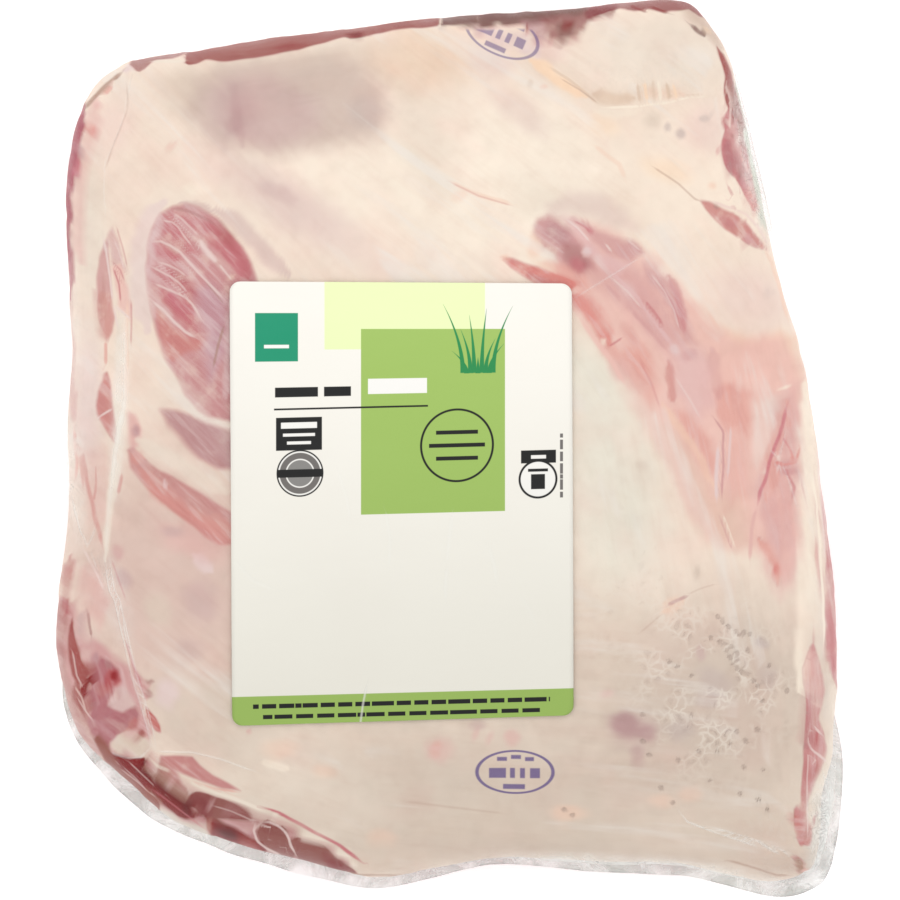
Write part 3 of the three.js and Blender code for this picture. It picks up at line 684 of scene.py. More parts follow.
THIN_STROKES = {
    "corner salmon": ("104,94 112,85", 2.6, "salmon", 0.7),
    "rim gap": ("152,61 184,60", 2, "wall_cream", 0.8),
    "corner edge": ("82,110 92,97 107,83 122,71", 2.5, "brown", 0.8),
    "second top": ("172,208 186,210 204,218 216,226", 1.8, "plum", 0.35),
    "arc": ("450,181 479,195 513,205", 2.5, "peach", 0.5),
    "leaf link": ("106,341 106,364", 2, "salmon", 0.8), "ridge edge": ("127,300 126,400", 2, "peach", 0.6),
    "ridge streak": ("122,474 118,494", 1.8, "red", 0.6),
    "wall line": ("76,442 82,456 86,480 103,548", 2.4, "red", 0.55),
    "wall edge": ("74,430 76,460 74,480", 2, "salmon", 0.7),
    "leaf streak": ("87,610 92,636", 1.8, "plum", 0.7),
    "corner fat line": ("149,758 157,766 183,779 202,787 250,805 276,816", 2.2, "wall_cream", 0.95),
    "stripe": ("260,806 279,813 340,846 363,864", 2, "deep_rose", 0.95),
    "lobe edge": ("172,774 190,781 216,789 240,793", 1.3, "salmon", 0.6),
    "gap highlight": ("74,686 80,698 84,712", 1.2, "pale_pink", 0.5),
    "corner fold": ("832,780 826,796 820,808", 1.2, "brown", 0.6),
    "pink fold": ("668,605 687,595", 2, "mauve", 0.6),
    "fan edge pale": ("580,318 610,360 626,384", 2.6, "blush", 0.7),
    "second fan mauve": ("660,282 672,304 680,326", 1.8, "deep_rose", 0.45),
    "fan streak": ("644,300 654,312 662,324", 2.2, "deep_rose", 0.6),
    "fan brown streak": ("622,300 636,316 650,330 668,352", 2.2, "rose", 0.45),
    "second brown streak": ("606,284 618,296 630,312", 2.2, "rose", 0.4),
    "fan pale": ("606,268 622,282 642,302 658,326 674,348", 2.4, "pale_rose", 0.7),
    "fan line": ("713,416 723,432 724,468 722,500", 1.4, "rose", 0.8),
    "fan line pale": ("719,446 717,476 717,502", 2.2, "haze_lilac", 0.8),
    "second fan line": ("731,426 728,478", 1.4, "haze_lilac", 0.6),
    "fan foot line": ("722,514 736,548", 1.4, "cream", 0.5),
    "fan foot shade": ("719,516 733,550", 1.4, "rose", 0.5),
    "fan fold": ("756,508 752,530 750,560", 2.2, "pink", 0.7),
    "vein": ("787,404 783,424 770,463 766,480 760,492 757,506", 2.2, "magenta", 0.6),
    "vein branch": ("776,462 786,466 794,462", 2, "coral", 0.6),
    "second branch": ("784,468 795,488 792,500", 2, "deep_rose", 0.55),
    "vein side": ("800,448 796,462 788,470", 1.6, "coral", 0.5),
    "right cream line": ("813,470 820,540 824,600 824,650", 1.6, "cream", 0.85),
    "right top line": ("764,246 774,262 790,320", 2.4, "peach", 0.6),
    "fold salmon": ("593,145 619,163 625,179", 2.5, "peach", 0.4),
    "slit": ("692,24 699,31 707,36", 2.4, "wine", 0.7), "rim streak": ("630,4 646,11", 1.8, "crimson", 0.6),
    "second rim streak": ("650,5 669,13", 2, "crimson", 0.55),
    "slit side": ("704,26 711,33", 2.5, "tan", 0.9),
    # The flap's fold edge and its film wrinkles: the tan lines are painted shade on one side of each, and the
    # cream and orange lines beside them painted highlights.
    "flap fold edge": ("548,66 566,78 582,90 598,104", 1.6, "tan", 0.6),
    "fold painted highlight line": ("600,107 640,106 668,102 690,97 722,97", 1.4, "cream", 0.9),
    "fold line": ("684,95 704,95 722,97", 1, "tan", 0.7), "wrinkle": ("638,84 641,102", 2, "tan", 0.7),
    "wrinkle painted highlight": ("645,82 648,101", 2, "orange_fat", 0.8),
    "second wrinkle": ("653,80 655,101", 2, "tan", 0.5),
    "second wrinkle painted highlight": ("658,80 661,101", 2.2, "cream", 0.8),
    "third wrinkle": ("666,82 670,100", 2.4, "tan", 0.8),
    "third wrinkle painted highlight": ("673,84 677,99", 1.8, "orange_fat", 0.7),
    "strip pale": ("727,80 731,96 737,112", 1.6, "pale_pink", 0.7),
    "second strip pale": ("724,112 744,148", 1.6, "pale_pink", 0.85),
    "third strip pale": ("735,140 744,156 752,176", 1.4, "pink", 0.8),
    "strip brown": ("731,80 742,126 746,150", 1.2, "brown_red", 0.6),
    "strip red": ("723,120 730,132 741,146", 1.2, "brick", 0.6),
    "lens pale": ("709,200 745,214 760,228 772,250", 1.6, "pale_pink", 0.8),
    "lens streak": ("727,186 735,201", 1.8, "deep_rose", 0.6),
}
BLOTS = {
    "rim tip": (356, 34, 9, 3.5, -15, "wine", 0.6), "rim purple": (477, 27, 8, 5, 0, "mauve", 0.6),
    "rim dark": (290, 44, 20, 4, -10, "crimson", 0.35), "left pink": (90, 130, 7, 7, 0, "coral", 0.55),
    "left mauve": (80, 152, 5, 8, 0, "mauve", 0.6), "left deep": (74, 166, 3.5, 9, 10, "magenta", 0.7),
    "corner red": (99, 103, 6, 5, 0, "pink", 0.5), "neck lilac": (240, 112, 20, 26, -8, "bruise", 0.3),
    "neck core": (236, 122, 9, 18, 10, "bruise", 0.3),
    "neck grey": (364, 112, 16, 16, 0, "grey_lilac", 0.5),
    "shoulder cream": (196, 190, 16, 8, 15, "cream", 0.9),
    "shoulder lilac": (276, 192, 22, 9, 25, "lilac", 0.4),
    "top cream": (336, 176, 34, 16, 20, "cream", 0.8), "label cream": (451, 208, 18, 9, 0, "cream", 0.8),
    "small mark": (172, 146, 8, 3, -30, "salmon", 0.3), "top salmon": (460, 194, 9, 7, 0, "peach", 0.5),
    "muscle rose": (173, 300, 8, 12, -30, "magenta", 0.35),
    "crescent core": (226, 235, 14, 8, 45, "brick", 0.35),
    "muscle haze": (156, 232, 7, 6, 0, "haze_lilac", 0.6),
    "second muscle haze": (150, 260, 4, 9, 0, "haze_lilac", 0.4),
    "muscle spot": (230, 278, 5, 4, 0, "fat", 0.6), "muscle pale": (206, 250, 5, 9, -40, "haze_lilac", 0.3),
    "ridge core": (134, 432, 5, 6, 0, "mauve", 0.7),
    "strip tick": (165, 486, 1.6, 6, -10, "haze_lilac", 0.9),
    "strip deep": (136, 458, 6, 7, 40, "coral", 0.4), "flank pink": (190, 540, 40, 20, 20, "pink", 0.5),
    "flank lilac": (172, 532, 12, 7, 0, "lilac", 0.6), "flank rose": (118, 552, 7, 9, 0, "rose", 0.5),
    "wall lilac": (124, 580, 8, 12, -20, "lilac", 0.7),
    "flank green": (160, 612, 14, 22, -20, "beige", 0.6),
    "flank mauve": (200, 600, 18, 22, 0, "lilac", 0.5), "flank low": (190, 650, 16, 12, 20, "lilac", 0.35),
    "flank pale": (216, 700, 14, 30, -10, "shaded_low_fat", 0.6),
    "rose deep": (114, 675, 4, 4.5, 0, "crimson", 0.7),
    "second rose deep": (107, 663, 5, 4, 30, "plum", 0.5), "gap speck": (84, 647, 2, 2.5, 0, "plum", 0.7),
    "gap dark": (94, 662, 3.5, 6, 10, "plum", 0.8), "blob dark": (122, 747, 6, 4, 0, "plum", 0.8),
    "blob red": (141, 733, 4, 4, 0, "brick", 0.8), "blob shade": (140, 748, 8, 5, 0, "shade", 0.6),
    "fold mauve": (150, 682, 4, 2.5, 0, "plum", 0.7), "fold mauve low": (148, 693, 3, 4, -30, "plum", 0.6),
    "fold lilac": (168, 692, 12, 15, 0, "haze_lilac", 0.7),
    "corner end": (226, 834, 12, 7, 25, "wine", 1.0),
    "corner end tail": (248, 845, 12, 4, 25, "brick", 0.8), "corner low": (186, 811, 9, 5, 30, "wine", 0.8),
    "corner high": (142, 763, 4, 5, 50, "wine", 0.6), "corner fade": (208, 828, 4, 7, 0, "beige", 0.5),
    "corner pale": (171, 783, 5, 3, 25, "haze_lilac", 0.6),
    "mauve mark": (210, 806, 3.5, 1.4, -40, "haze_lilac", 0.8),
    "mauve sheen": (250, 816, 12, 3, 20, "rose", 0.4), "low peach": (278, 750, 18, 10, 0, "peach", 0.4),
    "low peach end": (323, 772, 15, 8, 0, "peach", 0.4), "edge peach": (382, 838, 14, 9, 0, "peach", 0.4),
    "speck": (249, 730, 3, 3, 0, "pink", 0.6), "smear": (440, 749, 16, 14, 0, "pink", 0.4),
    "smear middle": (437, 748, 6, 9, 20, "salmon", 0.35), "streak": (475, 733, 4, 9, 20, "pink", 0.4),
    "second streak": (489, 737, 4, 8, 20, "pink", 0.35), "third streak": (512, 738, 8, 9, 20, "pink", 0.5),
    "foot lilac": (477, 724, 9, 6, 0, "lilac", 0.4), "foot salmon": (569, 813, 20, 9, 0, "peach", 0.6),
    "bruise haze": (634, 730, 26, 22, 10, "lilac", 0.4), "bruise": (628, 727, 17, 14, 20, "bruise", 0.8),
    "bruise side": (646, 734, 11, 9, 0, "bruise", 0.6), "bruise tail": (638, 755, 8, 13, 0, "bruise", 0.4),
    "bruise top": (606, 694, 8, 5, 0, "pink", 0.4), "pit grey": (680, 728, 15, 14, 0, "grey_lilac", 0.6),
    "pit grey high": (716, 680, 20, 14, 25, "grey_lilac", 0.6),
    "pit grey right": (768, 678, 12, 13, 0, "grey_lilac", 0.5),
    "pit grey far": (764, 643, 10, 6, 20, "grey_lilac", 0.8),
    "pit lilac": (701, 652, 5, 7, 0, "lilac", 0.5),
    "pit grey low": (708, 698, 13, 10, 0, "grey_lilac", 0.5),
    "corner peach": (661, 801, 15, 9, 0, "peach", 0.4),
    "second corner peach": (690, 794, 13, 8, 0, "peach", 0.4),
    "band lobe": (819, 738, 5, 8, 0, "rose_brick", 0.7),
    "band lobe low": (815, 774, 4.5, 10, 10, "rose_brick", 0.7),
    "band lobe foot": (797, 822, 3, 8, 0, "red_brick", 0.5),
    "band cream": (815, 707, 4, 5, 0, "cream", 0.9), "band top": (815, 664, 6, 12, 0, "pink", 0.5),
    "root deep": (577, 258, 20, 11, 46, "plum", 0.5), "root core": (580, 266, 11, 7, 42, "deep_rose", 0.7),
    "root cream": (536, 244, 8, 14, 0, "peach", 0.6), "root brown": (560, 232, 16, 9, 40, "mauve", 0.6),
    "root pale": (588, 252, 5, 5, 0, "haze_lilac", 0.9), "root tip": (630, 250, 12, 6, 20, "rose", 0.6),
    "root spot": (591, 231, 5, 3, 30, "deep_rose", 0.6), "wedge tip": (506, 259, 6, 4, 20, "peach", 0.7),
    "wedge core": (538, 278, 14, 5, 12, "deep_rose", 0.5), "wedge top": (548, 266, 14, 4, 20, "peach", 0.6),
    "fan salmon": (640, 356, 12, 24, -20, "salmon", 0.7), "fan deep": (630, 330, 8, 14, -30, "red", 0.3),
    "fan lilac": (628, 290, 12, 8, 40, "haze_lilac", 0.5), "fan white": (606, 340, 3, 3, 0, "cream", 0.8),
    "fan knot": (690, 356, 8, 6, -30, "rose", 0.5), "fan pink left": (622, 372, 10, 14, -25, "pink", 0.5),
    "fan white end": (676, 350, 6, 4, 40, "haze_lilac", 0.7),
    # The first three crumple blots are painted glints on crumples of the film.
    "crumple": (779, 458, 4, 4, 0, "pale_pink", 0.8), "second crumple": (788, 478, 4, 5, 0, "blush", 0.7),
    "third crumple": (765, 474, 3, 4, 0, "pale_pink", 0.8),
    "crumple spot": (786, 472, 3, 3, 0, "deep_rose", 0.6), "foot wide": (777, 570, 4, 8, -10, "coral", 0.6),
    "fan top white": (784, 388, 3, 3, 0, "cream", 0.8), "rim lobe": (831, 500, 4, 12, 0, "deep_rose", 0.5),
    "rim lobe middle": (832, 560, 5, 16, 0, "deep_rose", 0.6),
    "rim lobe low": (832, 640, 5, 22, 0, "deep_rose", 0.7), "fold spot": (530, 83, 3.5, 4.5, 0, "tan", 0.7),
    "second fold spot": (545, 88, 4, 3.5, 0, "peach", 0.8),
    "fold yellow": (604, 126, 16, 12, 20, "orange_fat", 0.4),
    "blue mark": (669, 127, 4, 5, 20, "grey_lilac", 0.6),
    "second blue mark": (683, 133, 5, 5, 30, "grey_lilac", 0.7),
    "third blue mark": (705, 118, 5, 4, 0, "grey_lilac", 0.5),
    "fold mottle": (654, 120, 10, 10, 0, "beige", 0.6), "notch dark": (568, 24, 6, 5, 0, "crimson", 0.6),
    "notch line": (526, 26, 2, 6, -35, "brick", 0.7), "lobe deep": (742, 174, 4, 7, -20, "brick", 0.45),
    "lens deep": (748, 238, 7, 4, 50, "magenta", 0.5), "lens start": (715, 206, 3, 2, 20, "plum", 0.8),
    "right mauve": (770, 292, 6, 5, 0, "haze", 0.6), "strip spur": (718, 150, 2, 6, 15, "pink", 0.7),
    "strip salmon": (711, 187, 5, 4, 0, "peach", 0.6), "grey mark": (641, 466, 9, 7, 30, "dull_fat", 0.35),
    "second grey mark": (698, 572, 4, 8, 0, "dull_fat", 0.5),
}

# Thin lines on the meat: a line, its half width and a strength
PALE_LINES = {
    "first fascia": ("173,213 182,219 199,236", 1.2, 0.5),
    "second fascia": ("161,220 172,222 178,227 184,236 192,246", 1.0, 0.55),
    "bright fascia": ("199,238 203,246 210,255 218,263", 2.6, 0.75),
    "bright fascia end": ("218,263 232,280", 1.2, 0.6),
    "third fascia": ("150,242 160,241 171,246 180,252 197,271 226,301", 1.3, 0.65),
    "fourth fascia": ("158,262 168,265 178,270 186,276", 1.0, 0.5),
    "fifth fascia": ("150,266 171,277 179,283 188,293", 1.1, 0.55),
    "sixth fascia": ("153,283 185,297 192,304 202,320", 1.2, 0.6),
    "seventh fascia": ("151,300 163,310 174,322 185,332 196,338", 1.5, 0.75),
    "leaf": ("103,236 110,280 113,304", 1.2, 0.9), "second leaf": ("112,303 131,319", 1.1, 0.75),
    "third leaf": ("113,300 118,328", 1.1, 0.7), "fourth leaf": ("114,240 124,270", 0.9, 0.5),
    "low leaf": ("96,418 112,409", 1.2, 0.8), "wall": ("83,548 98,576 104,590", 1.3, 0.7),
    "oval": ("71,650 76,676 82,688", 1.0, 0.5), "corner line": ("127,762 154,788 166,797", 0.8, 0.5),
    "second corner line": ("118,770 156,800", 0.8, 0.4), "rim line": ("76,698 84,712 92,722", 0.9, 0.5),
    "lobe": ("257,824 268,822 279,827 288,836 290,847 296,858", 1.3, 0.75),
    "lobe foot": ("252,827 257,842 268,851 281,858", 1.2, 0.7),
    "mauve": ("212,806 232,812 250,820 262,822", 0.9, 0.35), "root": ("566,219 578,228 590,242", 1.2, 0.6),
    "root end": ("606,244 612,252", 1.2, 0.7), "root side": ("628,240 640,250", 1.0, 0.5),
    "fan": ("612,278 628,292 642,308", 1.2, 0.5), "fan side": ("650,272 664,290 674,310 680,330", 1.1, 0.5),
    "fan middle": ("676,378 690,400 700,418", 1.2, 0.4), "rim": ("817,440 826,560", 1.3, 0.6),
    "band fork": ("814,727 818,730 823,736", 1.2, 0.8),
    "second band fork": ("814,751 820,755 827,762", 1.3, 0.8), "band": ("809,730 808,840", 0.8, 0.6),
}
RED_LINES = {
    "ridge": ("131,300 132,320 131,345", 1.0, 0.5), "leaf": ("113,268 119,284 121,302", 1.0, 0.7),
    "second leaf": ("112,262 120,270 124,280", 0.9, 0.5),
    "third leaf": ("116,226 122,246 127,268", 0.9, 0.4), "fold": ("126,640 133,664 142,690", 1.2, 0.6),
    "corner": ("150,790 206,830", 1.0, 0.5), "flank": ("112,560 126,600", 0.9, 0.4),
    "root": ("574,221 584,226 592,233", 1.2, 0.5), "fan": ("610,346 622,338", 1.2, 0.6),
    "fan low": ("640,360 652,384 660,408", 1.2, 0.25), "thin arc": ("450,182 479,196 513,206", 0.9, 0.3),
}
# Thin brown lines, each also sunk into the fat as a crease: the brown is partly the seam's own colour and
# partly painted shade in the crease.
SHADED_BROWN_LINES = {
    "muscle": ("224,326 218,346 213,368", 1.5, 0.6), "muscle side": ("206,282 224,304", 0.9, 0.35),
    "low crease": ("340,874 366,876 405,877 445,876", 1.0, 0.6),
    "faint crease": ("400,801 506,814", 1.2, 0.2), "flap": ("560,78 580,90 598,103", 0.8, 0.35),
    "thin line": ("652,166 679,184 695,199 703,202", 1.1, 0.4),
    "fold": ("126,80 128,108 112,148 105,170", 1.0, 0.3),
    "low lip": ("725,860 751,867 777,876 792,876", 1.2, 0.5), "pink tail": ("640,633 662,614", 1.0, 0.2),
    "pink tail end": ("688,594 702,588 716,584", 0.9, 0.2),
}

# Large pits in the fat, and where small ones are: centre, half sizes, turn and strength
PITS = (
    "642,714 643,742 649,755 691,714 689,728 717,751 731,744 758,730 738,732 747,742 710,781 661,788 "
    "745,768 763,770 797,752 796,767 758,800 768,810 740,794 672,802 787,691 763,701 717,616 722,619 "
    "724,623 729,627 736,631 740,635 744,632 750,634 711,638 720,642 726,650 732,647 736,652 748,650 "
    "730,657 737,659 733,664 738,669 742,672 670,662 677,666 692,676 753,680 757,685 770,666 787,690 "
    "565,811 573,816 699,752 678,760"
)
PITTED = {
    "by the edge": (715, 690, 85, 95, 0, 1), "by the label": (630, 590, 70, 90, 0, 0.3),
}

# The way of the grain: the middle of each muscle or stretch of fat, the turn of its grain and its reach.
# A fibre's length and width are in pixels.
GRAINS = {
    "shank": ((200, 300), 45, 170), "fan": ((640, 300), 55, 120), "fan foot": ((760, 480), 78, 160),
    "corner": ((130, 780), 38, 160), "corner end": ((280, 840), 20, 120), "left edge": ((90, 300), 88, 60),
    "muscle face": ((105, 690), 75, 50), "right strip": ((735, 120), 75, 60),
    "right band": ((820, 720), 88, 60), "middle fat": ((520, 150), 36, 190), "flap": ((660, 120), 40, 90),
    "top rim": ((300, 50), -9, 60), "lower fat": ((520, 790), 4, 190),
}
FIBRE_LENGTH = 24
FIBRE_WIDTH = 3.2

# Ink stamps on the fat: centre, turn, strength and the level above which nothing shows. Below that are a
# stamp's half sizes, the line round it as a share of them, and its bars from low corner to high corner.
STAMPS = {
    "foot": ((515, 772), 0, 0.8, 0), "head": ((502, 34), 24, 0.6, 27),
}
STAMP_SIZE = (38, 21)
STAMP_LINE = 0.05
STAMP_BARS = [(-26, -4, -9, 6), (-5, -4, 0, 6), (5, -4, 10, 6), (15, -4, 25, 6), (-12, 12, 10, 17),
              (-18, -15, -8, -11), (-4, -17, 6, -13), (10, -15, 19, -11)]

# Folds of the film: a line, its half width, how milky it is and how far it stands up in millimetres
FOLDS = {
    "upper left": ("133,70 122,123 112,149 105,163 104,192 106,221", 0.9, 0.3, 0.12),
    "left ridge": ("126,316 126,400 119,429 115,457 110,500 107,536 106,558", 2.6, 0.45, 0.35),
    "left lower": ("72,496 80,529 93,558 99,574", 1.3, 0.5, 0.25),
    "double": ("104,556 110,591 115,600 133,679 140,700 148,729 151,748", 1.2, 0.65, 0.35),
    "double partner": ("109,556 115,590 120,599 138,678 145,699 153,728 156,748", 1.2, 0.65, 0.35),
    "corner left": ("153,751 143,757 130,758 117,755 110,751", 1.3, 0.6, 0.35),
    "corner right": ("153,751 193,752 222,759 257,772", 1.3, 0.6, 0.35),
    "lower right": ("679,811 687,821 705,828 761,847 790,856 801,863", 1.5, 0.8, 0.5),
    "lower right partner": ("709,826 747,837 768,844 797,856", 1.3, 0.75, 0.4),
    "label end": ("575,298 641,257", 1.1, 0.4, 0.2),
    "right": ("786,430 779,457 790,485 798,510", 1.2, 0.45, 0.25),
    "crumple": ("770,450 780,460 776,474", 1.4, 0.5, 0.25),
    "lower edge": ("500,857 560,864 625,866 680,872", 1.6, 0.5, 0.3),
    "corner fan": ("822,768 828,800 824,840 828,872", 1.5, 0.5, 0.4),
    "second corner fan": ("834,790 832,820 836,860", 1.3, 0.5, 0.35),
    "right top": ("745,95 756,140 772,240", 1.6, 0.5, 0.35),
}
# Milky patches of the film, then crinkled ones: centre, half sizes, turn and strength
HAZES = {
    "left band": (70, 320, 9, 90, 0, 0.12), "left band low": (74, 480, 10, 70, -5, 0.25),
    "left ridge": (120, 400, 9, 90, 3, 0.3), "left fold": (116, 600, 14, 50, -14, 0.18),
    "lower left": (90, 770, 16, 50, -45, 0.05), "right top": (752, 160, 12, 85, -12, 0.5),
    "lower right corner": (828, 835, 20, 62, 0, 0.55), "lower edge": (640, 868, 120, 11, 4, 0.5),
    "lower edge left": (380, 886, 90, 8, 0, 0.35), "right edge": (822, 660, 8, 110, -3, 0.15),
}
CRINKLES = {
    "lower left": (95, 740, 45, 80, -35, 0.5), "lower right": (800, 840, 60, 60, 0, 1.0),
    "lower edge": (520, 870, 300, 22, 3, 0.5), "left": (85, 450, 28, 260, 0, 0.6),
    "right top": (745, 160, 26, 110, -12, 0.8), "right": (800, 480, 40, 130, 0, 0.5),
    "top right": (650, 75, 70, 35, 0, 0.6), "upper left": (110, 110, 40, 60, 0, 0.5),
}

# Print on the label: low corner, high corner and ink. Words and drawings are plain bars and shapes.
INKS = {
    "lime": (241, 252, 196), "green": (170, 200, 114), "teal": (38, 158, 124), "dark": (62, 58, 58),
    "white": (252, 250, 246), "grey": (128, 124, 122), "leaf": (70, 150, 96), "pale grey": (150, 148, 146),
    # crease is the whiter paper laid along the label's creases, a painted highlight.
    "paper": (252, 249, 241), "shaded paper": (249, 245, 237), "crease": (252, 251, 246),
}
BARS = {
    "lime field": (324.5, 276, 485, 350, "lime"), "green field": (361, 329, 505, 518, "green"),
    "foot band": (226, 697, 580, 745, "green"), "plate": (255, 313, 298, 362, "teal"),
    "plate line": (264, 345, 289, 348.5, "white"), "heading": (275, 388.5, 318, 398.5, "dark"),
    "second heading": (324, 388.5, 351, 398.5, "dark"), "white heading": (368, 381, 427, 397, "white"),
    "heading rule": (274, 409.6, 428, 411.5, "dark"), "badge": (276, 419, 322, 452, "dark"),
    "badge line": (281, 424, 317, 430, "white"), "second badge line": (283, 435, 315, 438, "white"),
    "third badge line": (287, 443, 311, 446, "white"), "tab": (521, 458, 556, 471, "dark"),
    "tab line": (531, 463, 546, 466.5, "white"),
}
DISCS = {
    "seal": (300, 475, 23.5, "dark"), "seal edge": (300, 475, 22, "white"),
    "seal middle": (300, 475, 20.5, "grey"), "seal line": (300, 475, 14.5, "white"),
    "seal core": (300, 475, 13.2, "pale grey"), "emblem": (457, 451, 37, "dark"),
    "emblem middle": (457, 451, 34.8, "green"), "mark": (538, 487, 19.5, "dark"),
    "mark middle": (538, 487, 17.3, "white"),
}
LATE_BARS = {
    "seal bar": (277, 471, 323, 479, "dark"), "emblem bar": (436, 436, 478, 440, "dark"),
    "second emblem bar": (429, 449, 485, 453, "dark"), "third emblem bar": (436, 462, 478, 466, "dark"),
    "mark box": (531, 482, 545, 497, "dark"), "mark lid": (528, 476.5, 548, 479.5, "dark"),
}
# Rows of small print: left, right, top, bottom, the length of a word and the ink
PRINT_ROWS = {
    "first row": (253, 550, 705, 709.5, 19, "dark"), "second row": (263, 540, 715.8, 720, 23, "dark"),
    "side row": (560, 563, 442, 506, 13, "grey"),
}
# Creases of the label: a line, its half width and a strength. Each is raised a little in the sheet and
# painted whiter along it as a painted highlight.
LABEL_CREASES = {
    "foot": ("367,684 363,704 360,726", 1.2, 0.8), "left": ("386,512 390,540 389,566", 1.6, 0.35),
    "middle": ("452,516 449,540 447,562", 2, 0.4), "middle low": ("447,568 445,588 446,600", 1.8, 0.5),
    "right": ("489,548 494,564 497,582", 2, 0.45), "right low": ("520,596 530,610 536,628", 1.8, 0.25),
    "corner": ("338,470 347,500 350,520", 1.6, 0.3), "side": ("234,560 252,580 276,590", 2, 0.3),
}
# How soft the print's edges are. The print runs level at the top, and from one level to the next it comes to
# rise to the right by a slope. From the first of the label's levels to the second, paper and print darken as
# painted shade, the light falling off towards the label's foot.
PRINT_SOFT = 0.35
PRINT_SLOPE = 0.026
SLOPE_LEVELS = (320, 420)
LABEL_SHADE_LEVELS = (250, 740)
LABEL_LEFT = 234
# A row of small print is words of two waves, and the gaps are where their sum is low
WORD_WAVES = (6.3, 14.1)
WORD_GAP = (-1.25, -1.15)
# The tuft of grass: how many blades, where they stand, their height and half width, how far apart their feet
# are over the whole tuft, and how far their tips bend outwards
BLADES = 9
BLADE_FOOT = (478, 377)
BLADE_HEIGHT = 74
BLADE_HALF = 2.6
BLADE_SPREAD = 34
BLADE_BEND = 46

# The film's glass: how strongly it bends light, the most it shines, and how rough its shine is
FILM_IOR = 1.36
FILM_SHINE = 0.035
FILM_ROUGHNESS = 0.2


def shown_colour(tint):
    return np.array(TINTS[tint]) / 255


def oval(spots, x, y, length, width, turn):
    """How far out each spot is in an ellipse: 0 in the middle, 1 on its edge."""
    c, s = math.cos(math.radians(turn)), math.sin(math.radians(turn))
    dx, dy = (spots - (x, y)).T
    return np.hypot((dx * c + dy * s) / length, (dy * c - dx * s) / width)


def oval_field(spots, ovals):
    """The strongest of the ovals at each spot."""
    field = np.zeros(len(spots))
    for *form, strength in ovals.values():
        field = np.maximum(field, strength * smooth(1.4 - oval(spots, *form)))
    return field


def tapered(along, share):
    """1 along a line, falling to 0 at its ends."""
    return smooth(along / share) * smooth((1 - along) / share)


def line_field(spots, lines):
    """The nearest line's signed distance in pixels, half width and strength, and its number."""
    field = np.zeros((len(spots), 3))
    number = np.zeros(len(spots), int)
    best = np.full(len(spots), np.inf)
    second = np.full(len(spots), np.inf)
    field[:, 0] = 9
    field[:, 1] = 1
    for index, (line, half, strength) in enumerate(lines):
        signed, along = line_place(spots, points(line))
        ends = tapered(along, 0.12)
        gap = np.abs(signed)
        nearer = gap < best
        second = np.where(nearer, best, np.minimum(second, gap))
        best = np.where(nearer, gap, best)
        reach = np.clip((half + 7 - gap) / 3, 0, 1)
        line_values = [signed, half * (0.45 + 0.55 * ends), strength * (0.3 + 0.7 * ends) * reach]
        field[nearer] = np.stack(line_values, 1)[nearer]
        number[nearer] = index
    field[:, 2] *= np.clip((second - best) / 3, 0, 1)
    return field, number


def nearest_patch(spots, patches):
    """How far inside the nearest patch each spot is in pixels, and that patch's manner and colour."""
    best = np.full(len(spots), -9.0)
    manner = np.tile((0.0, 1.0), (len(spots), 1))
    tints = np.zeros((len(spots), 3))
    for outline, tint, strength, soft in patches:
        outline = points(outline)
        near = ((spots > outline.min(axis=0) - 9) & (spots < outline.max(axis=0) + 9)).all(axis=1)
        near = np.flatnonzero(near)
        inside = inside_by(spots[near], outline)
        deeper = inside > best[near]
        chosen = near[deeper]
        best[chosen] = inside[deeper]
        manner[chosen] = strength, soft
        tints[chosen] = shown_colour(tint)
    return np.column_stack([best, manner]), tints


def fibres(spots):
    """Coordinates along and across the grain, and how plain the grain is there."""
    gaps = np.stack([np.hypot(*(spots - centre).T) / reach for centre, _, reach in GRAINS.values()])
    turns = np.radians([turn for _, turn, _ in GRAINS.values()])
    turn = turns[np.argmin(gaps, axis=0)]
    along = spots[:, 0] * np.cos(turn) + spots[:, 1] * np.sin(turn)
    across = spots[:, 1] * np.cos(turn) - spots[:, 0] * np.sin(turn)
    nearest, second = np.sort(gaps, axis=0)[:2]
    plain = smooth((second - nearest - 0.06) / 0.16)
    return np.stack([along / FIBRE_LENGTH, across / FIBRE_WIDTH, plain], 1)


